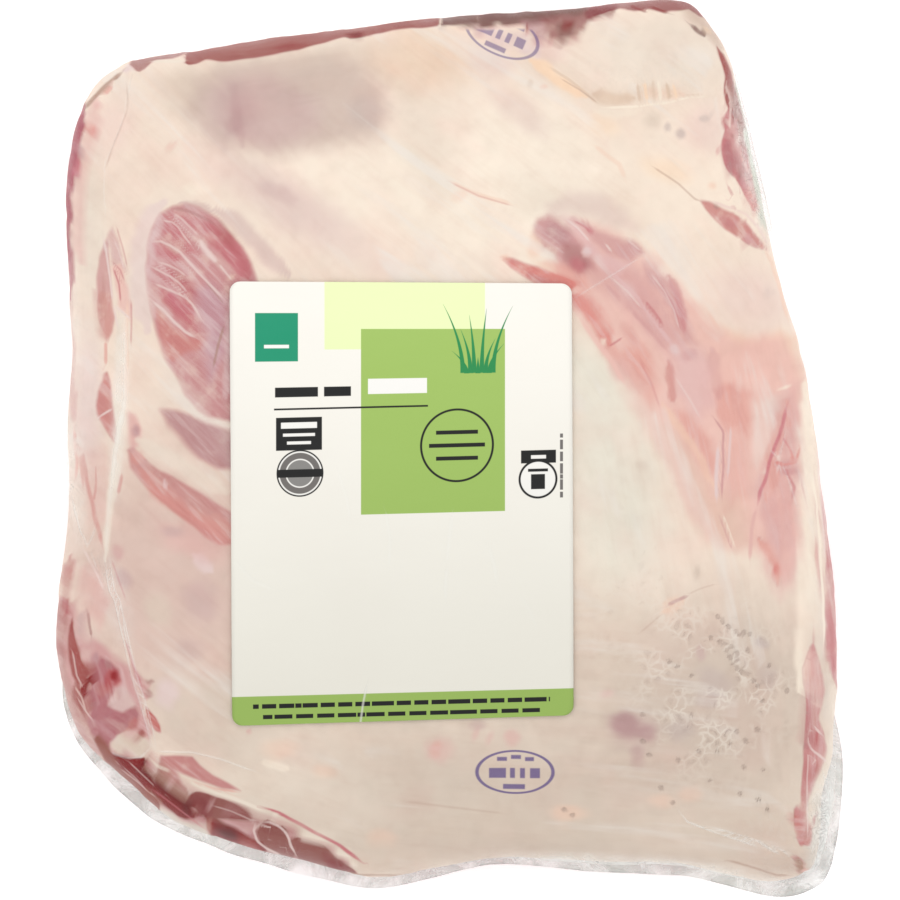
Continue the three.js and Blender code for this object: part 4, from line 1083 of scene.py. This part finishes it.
class MeatPaint:
    """Colours of the fat and of the lean, and how far the lean shows, all with wavering edges."""

    def __init__(self, shell):
        self.shell = shell
        self.spots = spots = shell.to_photo()
        self.height = shell.positions[:, 2]
        self.wall = np.stack([shell.place * EDGE_LENGTH, self.height * 3000], 1)
        on_wall = smooth((BELLY_HEIGHT + SIDE_FADE - self.height) / SIDE_FADE)
        self.drift = 5 * layered_noise(self.wall, 16, 19)[:, None] * on_wall[:, None]
        wander = np.stack([layered_noise(spots, 34, 11), layered_noise(spots, 34, 12)], 1) * 2.6
        wander += np.stack([noise(spots, 9, 13), noise(spots, 9, 14)], 1)
        self.moved = spots + wander + self.drift
        along, across, self.plain = fibres(spots).T
        self.grain = np.stack([along * FIBRE_LENGTH, across * FIBRE_WIDTH], 1)
        self.ragged = 0.6 * layered_noise(spots, 16, 15) + 0.8 * self.streaks((40, 8), 16, 2)
        self.fat = np.tile(shown_colour("base_fat"), (len(spots), 1))
        self.cover = np.full(len(spots), 0.001)
        self.lean = shown_colour("deep_rose") * self.cover[:, None]
        self.patch_tints = np.zeros((len(spots), 3))

    def streaks(self, size, seed, layers):
        """Noise drawn out along the grain, only where the grain is plain."""
        return self.plain * layered_noise(self.grain / size, 1, seed, layers)

    def near_to(self, outline, reach):
        low, high = outline.min(axis=0) - reach, outline.max(axis=0) + reach
        return np.flatnonzero(((self.moved > low) & (self.moved < high)).all(axis=1))

    def lay(self, near, mask, tint):
        """Paint over what is there. The lean is kept as its colour times how far it shows."""
        colour = shown_colour(tint)
        self.patch_tints[near] = blend(self.patch_tints[near], colour, mask[:, None])
        clear = 1 - mask
        self.lean[near] *= clear[:, None]
        self.cover[near] *= clear
        if tint in LEAN_TINTS:
            self.lean[near] += mask[:, None] * colour
            self.cover[near] += mask
        else:
            self.fat[near] = blend(self.fat[near], colour, mask[:, None])

    def lay_ovals(self, ovals, reach, level, fall, rough):
        """Ovals that are full up to a level, fall off outwards and have a rough edge."""
        for x, y, length, width, turn, tint, strength in ovals.values():
            near = self.near_to(np.array([(x, y)]), reach * max(length, width))
            out = oval(self.moved[near], x, y, length, width, turn)
            self.lay(near, strength * smooth(level - out * fall + self.ragged[near] * rough), tint)

    def lay_patches(self, patches):
        for outline, tint, strength, soft in patches.values():
            near = self.near_to(points(outline), 2 * soft)
            inside = inside_by(self.moved[near], points(outline)) + self.ragged[near] * soft * 0.4
            self.lay(near, strength * smooth(0.5 + inside / (2 * soft)), tint)

    def lay_strokes(self, strokes):
        for line, half, tint, strength in strokes.values():
            near = self.near_to(points(line), 2.5 * half)
            signed, along = line_place(self.moved[near], points(line))
            gap = np.abs(signed) / (half * (0.35 + 0.65 * tapered(along, 0.15)))
            self.lay(near, strength * smooth(1.5 - gap * 0.9 + self.ragged[near] * 0.25), tint)

    def vary_fat(self):
        """Faint changes of the fat's colour, over wide and small areas and along the grain."""
        spots = self.spots
        streaks = self.streaks((90, 16), 24, 3)
        light = 0.01 * layered_noise(spots, 70, 21) + 0.01 * layered_noise(spots, 14, 22) + 0.008 * streaks
        rosy = 0.02 * np.clip(layered_noise(spots, 42, 23), 0, 1) + 0.01 * np.clip(streaks, 0, 1)
        self.fat *= 1 + light[:, None]
        self.fat[:, 1:] *= 1 - rosy[:, None] * (1, 0.9)

    def attributes(self):
        """All the paint, as attributes of the mesh."""
        self.lay_ovals(WASHES, 1.8, 1.25, 0.8, 0.12)
        self.lay_patches(PATCHES)
        wavering = self.spots + self.drift
        wavering += 0.8 * np.stack([noise(self.spots, 18, 17), noise(self.spots, 18, 18)], 1)
        patch, self.patch_tints = nearest_patch(wavering, CRISP_PATCHES.values())
        self.lay_patches(SHADES)
        self.lay_strokes(STROKES)
        self.lay_ovals(BLOTS, 2, 1.35, 1, 0.25)
        self.vary_fat()
        lines = [(line, half, strength) for line, half, _, strength in THIN_STROKES.values()]
        strokes, number = line_field(wavering, lines)
        stroke_tints = np.array([shown_colour(tint) for _, _, tint, _ in THIN_STROKES.values()])[number]
        lean = self.lean / np.maximum(self.cover, 1e-9)[:, None]
        side_colour, side_cover = paint_side(self.shell)
        foot = BELLY_HEIGHT - SIDE_FADE + SIDE_FADE * layered_noise(self.wall, 26, 20)
        low = smooth((foot - self.height) / SIDE_FADE)
        lean = blend(lean, side_colour, low[:, None] * 0.85)
        patch[:, 1] *= 1 - low
        strokes[:, 2] *= 1 - low
        tints = {"fat": self.fat, "lean": lean, "patch_tint": self.patch_tints, "stroke_tint": stroke_tints}
        tints = {name: as_albedo(np.clip(tint, 0, 1)) for name, tint in tints.items()}
        return {**tints, "cover": blend(self.cover, side_cover, low), "patch": patch, "strokes": strokes}


def paint_side(shell):
    """The cut sides and the underside: lean lobes between seams of fat."""
    height = shell.positions[:, 2] * 1000
    wall = np.stack([shell.place * EDGE_LENGTH, height * 1.6], 1)
    flat = np.where((height < 2)[:, None], shell.positions[:, :2] * 1000 + 500, wall)
    seams = np.exp(-((layered_noise(flat, 26, 35) / 0.07) ** 2))
    to_right = np.cos(shell.place * math.tau)
    lean = smooth((layered_noise(flat, 30, 31) + 0.32 + 0.1 * to_right) / 0.3)
    red = smooth(layered_noise(flat, 45, 41) + 0.4)[:, None]
    return blend(shown_colour("deep_rose"), shown_colour("brick"), red), lean * (1 - 0.75 * seams)


def as_albedo(colour):
    """The surface colour that looks as given, from 0 to 1, in the studio's light."""
    light = np.where(colour <= 0.04045, colour / 12.92, ((colour + 0.055) / 1.055) ** 2.4)
    albedo = np.clip((light - VEIL) / LIGHT_LEVEL, 0.004, 1)
    return np.column_stack([albedo, np.ones(len(albedo))])


def linear(tint):
    return tuple(as_albedo(np.array([tint]) / 255)[0])


def build_meat(material):
    shell = Shell(MEAT_GRID, MEAT_ROWS, lambda direction: around_edge(MEAT_INSET, direction), MEAT_DEPTH)
    for z in (*SIDE_RINGS, *MEAT_RINGS):
        shell.add_ring(-tuck_at(z), z, side_at(z))
    shell.add_ring(-tuck_at(MEAT_LAST_RING), MEAT_DEPTH, 1)
    shell.close_floor(MEAT_FLOOR, MEAT_DEPTH)
    spots = shell.to_photo()
    height = shell.positions[:, 2]
    millimetres = np.stack([shell.place * EDGE_LENGTH, height * 1000], 1)
    wall = smooth((shell.share - 0.9) / 0.09) * smooth((height - 0.002) / 0.004)
    rise = SWELL * layered_noise(spots, 60, 51) + SMALL_SWELL * noise(spots, 16, 52)
    rise = blend(rise, np.minimum(rise, 0), wall)
    rise -= wall * 0.0005 * smooth(0.5 + layered_noise(millimetres, 15, 53))
    pits = np.full(len(spots), np.inf)
    uneven = spots + 1.5 * noise(spots, 6, 54)[:, None]
    for pit in points(PITS):
        pits = np.minimum(pits, np.hypot(*(uneven - pit).T))
    rise -= PIT_DEPTH * smooth(1.3 - pits / 4)
    lines = {"pale_lines": PALE_LINES, "red_lines": RED_LINES, "shaded_brown_lines": SHADED_BROWN_LINES}
    lines = {name: line_field(spots, marks.values())[0] for name, marks in lines.items()}
    gap, _, strength = lines["shaded_brown_lines"].T
    rise -= CREASE_DEPTH * strength * np.exp(-((gap / 4) ** 2))
    paint = MeatPaint(shell).attributes()
    rise -= LEAN_DEPTH * smooth(np.maximum(paint["cover"], paint["patch"][:, 0] / 3))
    shell.positions += shell.normals() * rise[:, None]
    pitted = sum(strength * smooth(1.3 - oval(spots, *form)) for *form, strength in PITTED.values())
    attributes = {
        "pits": np.clip(pits, 0, 12), "pitted": pitted, "fibre": fibres(spots),
        "spot": np.column_stack([spots, shell.side]), **paint, **lines,
    }
    return add_piece("meat", shell.positions, [shell.quads(), shell.caps], material, attributes)


def add_lips(shell):
    """The thin sealed lips of film that stand out round the foot."""
    lip = around_edge(LIP_REACH, directions(shell.edge(shell.ring_place)))
    root = -tuck_at(LIP_HEIGHT)
    lipped = smooth(lip / 0.003)
    tip = np.maximum(lip + root * (1 - lipped), root + LIP_LEAST)
    travel = np.stack([shell.ring_place * EDGE_LENGTH, np.zeros(shell.count)], 1)
    wave = layered_noise(travel, 13, 61) + 0.5 * noise(travel, 4, 62)
    tip -= LIP_RAGGED * lipped * (0.5 + 0.5 * noise(travel, 9, 63))
    outwards = [(part, 1) for part in LIP_STEPS]
    back = [(part, -1) for part in LIP_STEPS[::-1]]
    for part, lift in (*outwards, (1, 0), *back):
        z = LIP_HEIGHT + LIP_HALF * lift + LIP_WAVE * lipped * wave * part**1.5
        shell.add_ring(blend(root, tip, part), z, 1)


def build_film(material):
    shell = Shell(FILM_GRID, FILM_ROWS, lambda direction: np.zeros(len(direction)), 0)
    for z in (*SIDE_RINGS, FILM_RING):
        shell.add_ring(-tuck_at(z), z, side_at(z))
    add_lips(shell)
    for z in FILM_LOW_RINGS:
        shell.add_ring(-tuck_at(z), z, 1)
    shell.close_floor(FILM_FLOOR, 0)
    spots = shell.to_photo()
    folds, _ = line_field(spots, [(line, half, milk) for line, half, milk, _ in FOLDS.values()])
    rise = np.zeros(len(spots))
    for line, half, _, height in FOLDS.values():
        signed, along = line_place(spots, points(line))
        fold = height / 1000 * tapered(along, 0.15) * np.exp(-((signed / (half + 1.5)) ** 2))
        rise = np.maximum(rise, fold)
    below = smooth(shell.side * 2)
    folds[:, 2] *= 1 - below
    rise *= 1 - below
    low = smooth((0.006 - shell.positions[:, 2]) / 0.002)
    haze = np.maximum(oval_field(spots, HAZES) * (1 - below), blend(0.02, 0.5, low) * below)
    crinkle = oval_field(spots, CRINKLES)
    crinkle = blend(crinkle, 0.35 * crinkle + 0.15, below)
    stretched = spots @ np.array([[0.8, -0.6], [0.6, 0.8]]) / (3, 1)
    rise += CRINKLE_HEIGHT * layered_noise(stretched, 9, 64) * crinkle * (1 - below)
    shell.positions += shell.normals() * rise[:, None]
    spot = np.column_stack([spots, shell.side])
    attributes = {"haze": haze, "crinkle": crinkle, "folds": folds, "spot": spot}
    return add_piece("film", shell.positions, [shell.quads(), shell.caps], material, attributes)


def label_grid():
    """The flat label's spots in rows from its high end to its low end, drawn in at the round corners."""
    low_left, low_right, high_right, high_left = points(LABEL_CORNERS) / 1000
    width = np.hypot(*(low_right - low_left))
    height = np.hypot(*(high_left - low_left))
    curve = LABEL_CORNER * (1 - np.cos(np.linspace(0, math.pi / 2, 7))) / height
    middle = np.linspace(curve[-1], 1 - curve[-1], LABEL_ROWS + 1)[1:-1]
    down = np.concatenate([curve, middle, 1 - curve[::-1]])[:, None]
    short = np.maximum(0, LABEL_CORNER - np.minimum(down, 1 - down) * height)
    drawn_in = (LABEL_CORNER - np.sqrt(LABEL_CORNER**2 - short**2)) / width
    across = drawn_in + (1 - 2 * drawn_in) * np.linspace(0, 1, LABEL_COLUMNS + 1)
    end = blend(high_left, high_right, across[..., None])
    foot = blend(low_left, low_right, across[..., None])
    return blend(end, foot, down[..., None])


def build_label(material):
    """The label: a thin sheet with round corners, bent over the film."""
    grid = label_grid()
    number = np.arange(grid.shape[0] * grid.shape[1]).reshape(grid.shape[:2])
    sheet = grid.reshape(-1, 2)
    base = top_height_at(sheet) + LABEL_GAP + LABEL_LIFT
    spots = photo_place(sheet, base)
    base += LABEL_WAVE * layered_noise(spots * (0.4, 1), 40, 71)
    creases, _ = line_field(spots, LABEL_CREASES.values())
    base += LABEL_CREASE * creases[:, 2] * np.exp(-((creases[:, 0] / 4) ** 2))
    sides = [np.column_stack([sheet, base + LABEL_HALF]), np.column_stack([sheet, base - LABEL_HALF])]
    corners = [number[:-1, :-1], number[1:, :-1], number[1:, 1:], number[:-1, 1:]]
    upper = np.stack([corner.ravel() for corner in corners], 1)
    rim = np.concatenate([number[0, :-1], number[:-1, -1], number[-1, :0:-1], number[:0:-1, 0]])
    beyond = np.roll(rim, -1)
    wall = np.stack([rim, beyond, beyond + len(sheet), rim + len(sheet)], 1)
    faces = [upper, upper[:, ::-1] + len(sheet), wall]
    under = np.repeat([0.0, 1.0], len(sheet))
    attributes = {
        "spot": np.column_stack([np.vstack([spots, spots]), under]), "creases": np.tile(creases, (2, 1)),
    }
    return add_piece("label_sheet", np.vstack(sides), faces, material, attributes)


class Look:
    """A material, with short calls for its nodes."""

    def __init__(self, name):
        self.material = bpy.data.materials.new(name)
        self.material.use_nodes = True
        self.tree = self.material.node_tree
        self.tree.nodes.clear()

    def node(self, kind, inputs=None, **settings):
        node = self.tree.nodes.new(kind)
        for key, value in settings.items():
            setattr(node, key, value)
        for key, value in (inputs or {}).items():
            if isinstance(value, bpy.types.NodeSocket):
                self.tree.links.new(value, node.inputs[key])
            else:
                node.inputs[key].default_value = value
        return node

    def math(self, operation, *values, clamp=False):
        inputs = dict(enumerate(values))
        return self.node("ShaderNodeMath", inputs, operation=operation, use_clamp=clamp).outputs[0]

    def chain(self, operation, total, *values):
        for value in values:
            total = self.math(operation, total, value)
        return total

    def plus(self, *values):
        return self.chain("ADD", *values)

    def times(self, *values):
        return self.chain("MULTIPLY", *values)

    def largest(self, *values):
        return self.chain("MAXIMUM", *values)

    def minus(self, a, b):
        return self.math("SUBTRACT", a, b)

    def gap(self, a, b):
        return self.math("ABSOLUTE", self.minus(a, b))

    def far(self, dx, dy):
        """The length of a step."""
        return self.math("SQRT", self.plus(self.times(dx, dx), self.times(dy, dy)))

    def mix(self, share, a, b, kind="MIX"):
        node = self.node("ShaderNodeMix", {0: share, 6: a, 7: b}, data_type="RGBA", blend_type=kind)
        return node.outputs[2]

    def darken(self, share, colour, factor):
        return self.mix(share, colour, (*factor, 1), "MULTIPLY")

    def attribute(self, name, kind="Fac"):
        return self.node("ShaderNodeAttribute", attribute_name=name).outputs[kind]

    def parts(self, vector):
        return self.node("ShaderNodeSeparateXYZ", {0: vector}).outputs

    def vector(self, operation, inputs):
        return self.node("ShaderNodeVectorMath", inputs, operation=operation).outputs[0]

    def ease(self, value, start, end, low=0.0, high=1.0):
        """A smooth step from low at start to high at end, where start is the smaller."""
        steps = {0: value, 1: start, 2: end, 3: low, 4: high}
        return self.node("ShaderNodeMapRange", steps, interpolation_type="SMOOTHSTEP").outputs[0]

    def noise(self, place, scale, detail=2, roughness=0.5, distortion=0, output=0):
        inputs = {"Vector": place, "Scale": scale, "Detail": detail, "Roughness": roughness}
        return self.node("ShaderNodeTexNoise", {**inputs, "Distortion": distortion}).outputs[output]

    def grain(self, scale, detail, roughness, distortion=0):
        """Noise along the fibres, whose swing round a half is full only where the grain is plain."""
        fibre = self.attribute("fibre", "Vector")
        swing = self.minus(self.noise(fibre, scale, detail, roughness, distortion), 0.5)
        return self.plus(self.times(swing, self.parts(fibre)[2]), 0.5)

    def place(self):
        return self.node("ShaderNodeTexCoord").outputs["Object"]

    def line_mask(self, name, core=0.1, edge=1.7):
        """How strongly the nearest thin line shows."""
        gap, half, strength = self.parts(self.attribute(name, "Vector"))
        across = self.math("DIVIDE", self.math("ABSOLUTE", gap), half)
        return self.times(self.ease(across, core, edge, 1, 0), strength)

    def bump(self, height, distance):
        inputs = {"Height": height, "Distance": distance, "Strength": 1.0}
        return self.node("ShaderNodeBump", inputs).outputs[0]

    def shader(self, kind, **inputs):
        """A shader. An input's name has _ in place of each space."""
        inputs = {name.replace("_", " "): value for name, value in inputs.items()}
        return self.node("ShaderNodeBsdf" + kind, inputs).outputs[0]

    def mix_shaders(self, share, a, b):
        return self.node("ShaderNodeMixShader", {0: share, 1: a, 2: b}).outputs[0]

    def finish(self, surface):
        self.node("ShaderNodeOutputMaterial", {"Surface": surface})
        return self.material


def box_mask(look, x, y, box, soft=PRINT_SOFT):
    """A rectangle from its low corner to its high corner."""
    low_x, low_y, high_x, high_y = box
    sides = []
    for value, low, high in ((x, low_x, high_x), (y, low_y, high_y)):
        sides.append(look.ease(value, low - soft, low + soft))
        sides.append(look.ease(value, high - soft, high + soft, 1, 0))
    return look.times(*sides)


def stamp_mask(look, x, y):
    """Oval ink stamps: a ring and plain bars. A stamp shows only below its top level."""
    total = 0
    for (centre_x, centre_y), turn, strength, top in STAMPS.values():
        c, s = math.cos(math.radians(turn)), math.sin(math.radians(turn))
        dx, dy = look.minus(x, centre_x), look.minus(y, centre_y)
        along = look.plus(look.times(dx, c), look.times(dy, s))
        across = look.minus(look.times(dy, c), look.times(dx, s))
        out = look.far(*(look.math("DIVIDE", part, size) for part, size in zip((along, across), STAMP_SIZE)))
        mask = look.ease(look.gap(out, 1), STAMP_LINE * 0.5, STAMP_LINE * 1.4, 1, 0)
        for bar in STAMP_BARS:
            mask = look.largest(mask, box_mask(look, along, across, bar, 0.8))
        total = look.largest(look.times(mask, look.ease(y, top, top + 4, 0, strength)), total)
    return total


def lean_look(look, place, grain, streak):
    """The lean's colour, and how far it shows through the fat."""
    cover = look.attribute("cover")
    edge = look.times(cover, look.minus(1, cover), 4)
    wavering = look.plus(look.minus(grain, 0.5), look.minus(streak, 0.5))
    shown = look.math("ADD", cover, look.times(edge, wavering), clamp=True)
    inside, strength, soft = look.parts(look.attribute("patch", "Vector"))
    ragged = look.plus(look.math("DIVIDE", inside, soft), look.minus(grain, 0.5))
    patch = look.times(look.ease(ragged, -1, 1), strength)
    lean = look.mix(patch, look.attribute("lean", "Color"), look.attribute("patch_tint", "Color"))
    pale = look.ease(look.parts(lean)[0], 0.25, 0.6)
    veil = look.times(look.ease(look.noise(place, 160, 3, 0.6), 0.48, 0.75, 0, 0.35), pale)
    bare = look.times(look.ease(streak, 0.5, 0.7, 0, 0.28), pale)
    shown = look.times(look.largest(shown, patch), look.minus(1, veil), look.minus(1, bare))
    lean = look.darken(look.ease(streak, 0.3, 0.5, 0.8, 0), lean, (0.86, 0.66, 0.68))
    lean = look.darken(look.ease(grain, 0.36, 0.5, 0.55, 0), lean, (0.88, 0.72, 0.74))
    marbling = look.times(look.ease(grain, 0.5, 0.66, 0, 0.32), pale)
    return look.mix(marbling, lean, linear(TINTS["haze_lilac"])), shown


def fat_look(look, place, grain, streak, mottle):
    """The fat's colour, with mottles, clouds and pale wisps along the grain."""
    fat = look.attribute("fat", "Color")
    cloud = look.noise(place, 240, 4, 0.6)
    fat = look.darken(look.ease(mottle, 0.42, 0.7, 0, 0.6), fat, (0.95, 0.92, 0.91))
    fat = look.darken(look.ease(streak, 0.5, 0.7, 0, 0.45), fat, (0.97, 0.94, 0.935))
    fat = look.darken(look.ease(grain, 0.35, 0.5, 0.4, 0), fat, (0.96, 0.94, 0.93))
    fat = look.darken(look.ease(cloud, 0.45, 0.7, 0, 0.5), fat, (0.95, 0.935, 0.93))
    wisp = look.grain(0.07, 4, 0.65, 0.4)
    return look.mix(look.ease(wisp, 0.52, 0.68, 0, 0.45), fat, linear(TINTS["wisp"]))


def pit_masks(look, place):
    """The pale lace between the small pits, and the hollows of all the pits, which take a painted shade."""
    bend = look.vector("SCALE", {0: look.noise(place, 260, output="Color"), 3: 0.004})
    bent = look.vector("ADD", {0: place, 1: bend})
    cells = look.node("ShaderNodeTexVoronoi", {"Vector": bent, "Scale": 300.0}, feature="DISTANCE_TO_EDGE")
    wall = cells.outputs["Distance"]
    patchy = look.times(look.attribute("pitted"), look.ease(look.noise(place, 110), 0.42, 0.6))
    lace = look.times(look.ease(wall, 0.02, 0.12, 1, 0), patchy)
    small = look.times(look.ease(wall, 0.22, 0.36), patchy)
    large = look.ease(look.attribute("pits"), 1.2, 3.6, 1, 0)
    return lace, look.largest(large, look.times(small, 0.7))


def meat_material():
    look = Look("raw_meat")
    place = look.place()
    x, y, _ = look.parts(look.attribute("spot", "Vector"))
    grain = look.grain(0.5, 2, 0.55)
    streak = look.grain(0.16, 3, 0.6)
    mottle = look.noise(place, 70, 3, 0.55)
    lean, shown = lean_look(look, place, grain, streak)
    colour = look.mix(shown, fat_look(look, place, grain, streak, mottle), lean)
    colour = look.mix(look.line_mask("strokes", 0.3, 1.4), colour, look.attribute("stroke_tint", "Color"))
    lace, pit_hollow_and_shade = pit_masks(look, place)
    fascia = look.line_mask("pale_lines")
    # In the layers below, the pit tint is painted shade in the pits' hollows, and the brown along the creases
    # is partly painted shade; the rest is the meat's own colour.
    layers = (
        (look.times(lace, 0.5), "pit_lace"), (look.times(pit_hollow_and_shade, 0.55), "pit"),
        (look.line_mask("red_lines"), "deep_rose"), (look.line_mask("shaded_brown_lines"), "brown"),
        (fascia, "fascia"), (stamp_mask(look, x, y), "stamp_ink"),
    )
    for mask, tint in layers:
        colour = look.mix(mask, colour, linear(TINTS[tint]))
    height = look.plus(look.times(grain, shown, 0.5), look.times(mottle, 0.6), look.times(fascia, 0.25))
    height = look.minus(height, look.times(pit_hollow_and_shade, 0.6))
    roughness = look.ease(mottle, 0.3, 0.7, 0.4, 0.55)
    normal = look.bump(height, 0.0004)
    surface = look.shader("Principled", Base_Color=colour, Roughness=roughness, Normal=normal,
                          Specular_IOR_Level=0.15)
    return look.finish(surface)


def film_material():
    """Clear film that turns milky in its folds. Shadows and reflections pass through it."""
    look = Look("shrink_film")
    place = look.place()
    crinkle = look.attribute("crinkle")
    folds = look.line_mask("folds", 0.2, 1.5)
    broad = look.noise(place, 90, 4, 0.6, 1.5)
    ridges = look.ease(look.gap(look.noise(place, 150, 3, 0.55, 2.2), 0.5), 0.0, 0.06, 1, 0)
    streaks = look.times(ridges, crinkle)
    haze = look.times(look.attribute("haze"), look.ease(broad, 0.3, 0.7, 0.4, 1.2))
    milk = look.math("ADD", look.plus(haze, look.times(folds, 0.4)), look.times(streaks, 0.05), clamp=True)
    waves = look.times(broad, look.plus(crinkle, 0.12))
    normal = look.bump(look.plus(look.times(streaks, 0.5), look.times(folds, 0.8), waves), 0.0007)
    fresnel = look.node("ShaderNodeFresnel", {"IOR": FILM_IOR, "Normal": normal}).outputs[0]
    fresnel = look.math("MINIMUM", look.times(fresnel, 0.5), FILM_SHINE)
    clear = look.shader("Transparent", Color=(0.985, 0.988, 0.985, 1))
    gloss = look.shader("Glossy", Color=(1, 1, 1, 1), Roughness=FILM_ROUGHNESS, Normal=normal)
    side = look.parts(look.attribute("spot", "Vector"))[2]
    white = look.mix(side, (0.84, 0.85, 0.81, 1), (0.58, 0.6, 0.56, 1))
    milky = look.shader("Principled", Base_Color=white, Roughness=0.3, Normal=normal)
    seen = look.mix_shaders(milk, look.mix_shaders(fresnel, clear, gloss), milky)
    path = look.node("ShaderNodeLightPath").outputs
    passing = look.largest(path["Is Shadow Ray"], path["Is Diffuse Ray"], path["Is Glossy Ray"])
    open_film = look.shader("Transparent", Color=(0.97, 0.97, 0.97, 1))
    return look.finish(look.mix_shaders(passing, seen, open_film))


def grass_mask(look, x, y, blade):
    """One blade of the tuft of grass, thin at its tip and bent outwards."""
    lean_by = (blade - (BLADES - 1) / 2) / BLADES
    tall = BLADE_HEIGHT * (0.62 + 0.38 * math.cos(blade * 2.4))
    up = look.math("DIVIDE", look.minus(BLADE_FOOT[1], y), tall)
    middle = look.plus(BLADE_FOOT[0] + BLADE_SPREAD * lean_by, look.times(up, up, BLADE_BEND * lean_by))
    off = look.minus(look.gap(x, middle), look.times(look.minus(1, up), BLADE_HALF))
    return look.times(look.ease(off, -0.4, 0.4, 1, 0), look.ease(up, 0, 0.02), look.ease(up, 0.97, 1, 1, 0))


def label_material():
    look = Look("printed_label")
    place = look.place()
    x, level, _ = look.parts(look.attribute("spot", "Vector"))
    slope = look.ease(level, *SLOPE_LEVELS, 0, PRINT_SLOPE)
    y = look.plus(level, look.times(look.minus(x, LABEL_LEFT), slope))
    masks = [(box_mask(look, x, y, bar[:4]), bar[4]) for bar in BARS.values()]
    for centre_x, centre_y, radius, ink in DISCS.values():
        out = look.far(look.minus(x, centre_x), look.minus(y, centre_y))
        masks.append((look.ease(out, radius - 0.4, radius + 0.4, 1, 0), ink))
    masks += [(box_mask(look, x, y, bar[:4]), bar[4]) for bar in LATE_BARS.values()]
    for left, right, top, bottom, word, ink in PRINT_ROWS.values():
        run = x if right - left > bottom - top else level
        waves = [look.math("SINE", look.math("DIVIDE", run, word / wave)) for wave in WORD_WAVES]
        words = look.ease(look.plus(*waves), *WORD_GAP)
        masks.append((look.times(words, box_mask(look, x, y, (left, top, right, bottom))), ink))
    masks += [(grass_mask(look, x, y, blade), "leaf") for blade in range(BLADES)]
    # Along each crease the paper is painted whiter: a painted highlight on the raised fold.
    crease = look.line_mask("creases", 0.1, 1.6)
    masks.append((look.times(crease, 0.7), "crease"))
    colour = look.mix(look.noise(place, 45, 3), linear(INKS["paper"]), linear(INKS["shaded paper"]))
    for mask, ink in masks:
        colour = look.mix(mask, colour, linear(INKS[ink]))
    # Painted shade: the whole label darkens towards its foot.
    colour = look.darken(look.ease(level, *LABEL_SHADE_LEVELS), colour, (0.81, 0.81, 0.78))
    waves = look.noise(look.vector("MULTIPLY", {0: place, 1: (0.35, 1, 1)}), 60, 3)
    normal = look.bump(look.minus(waves, look.times(crease, 0.3)), 0.0006)
    roughness = look.ease(waves, 0.3, 0.7, 0.36, 0.5)
    surface = look.shader("Principled", Base_Color=colour, Roughness=roughness, Normal=normal,
                          Specular_IOR_Level=0.3)
    return look.finish(surface)


def floor_material():
    look = Look("pale_floor")
    colour = look.mix(look.noise(look.place(), 3), (0.93, 0.93, 0.93, 1), (0.95, 0.95, 0.95, 1))
    look.material.cycles.emission_sampling = "NONE"
    surface = look.shader("Principled", Base_Color=colour, Roughness=0.8, Emission_Color=(1, 1, 1, 1),
                          Emission_Strength=FLOOR_GLOW)
    return look.finish(surface)


def build_floor():
    mesh = bpy.data.meshes.new("floor")
    corners = [(-1, -1), (1, -1), (1, 1), (-1, 1)]
    corners = [(x * FLOOR_REACH, y * FLOOR_REACH, FLOOR_HEIGHT) for x, y in corners]
    mesh.from_pydata(corners, [], [(0, 1, 2, 3)])
    mesh.materials.append(floor_material())
    floor = bpy.data.objects.new("floor", mesh)
    bpy.context.scene.collection.objects.link(floor)


def add_light(name, place, size, power):
    """A round lamp that points at the middle of the pack."""
    data = bpy.data.lights.new(name, "AREA")
    data.shape = "DISK"
    data.size = size
    data.energy = power
    light = bpy.data.objects.new(name, data)
    light.location = place
    light.rotation_euler = (-light.location).to_track_quat("-Z", "Y").to_euler()
    bpy.context.scene.collection.objects.link(light)


def light_scene():
    scene = bpy.context.scene
    scene.world = bpy.data.worlds.new("studio")
    scene.world.use_nodes = True
    background = scene.world.node_tree.nodes["Background"]
    background.inputs["Color"].default_value = (1, 1, 1, 1)
    background.inputs["Strength"].default_value = 1.0
    for name, lamp in LAMPS.items():
        add_light(name, *lamp)
    scene.cycles.max_bounces = 4
    scene.cycles.diffuse_bounces = 2
    scene.cycles.glossy_bounces = 1
    scene.view_settings.view_transform = "Standard"


def add_camera():
    data = bpy.data.cameras.new("camera")
    data.sensor_width = SENSOR_WIDTH
    data.lens = SENSOR_WIDTH * (CAMERA_HEIGHT - BELLY_HEIGHT) / (2 * PHOTO_MIDDLE * PIXEL)
    camera = bpy.data.objects.new("camera", data)
    camera.location = (*SHIFT, CAMERA_HEIGHT)
    bpy.context.scene.collection.objects.link(camera)
    bpy.context.scene.camera = camera


meat = build_meat(meat_material())
film = build_film(film_material())
label = build_label(label_material())
for piece in (meat, film):
    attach(piece, "root")
    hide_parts("packed_shoulder")
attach(label, "root")
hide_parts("label")
build_floor()
light_scene()
add_camera()
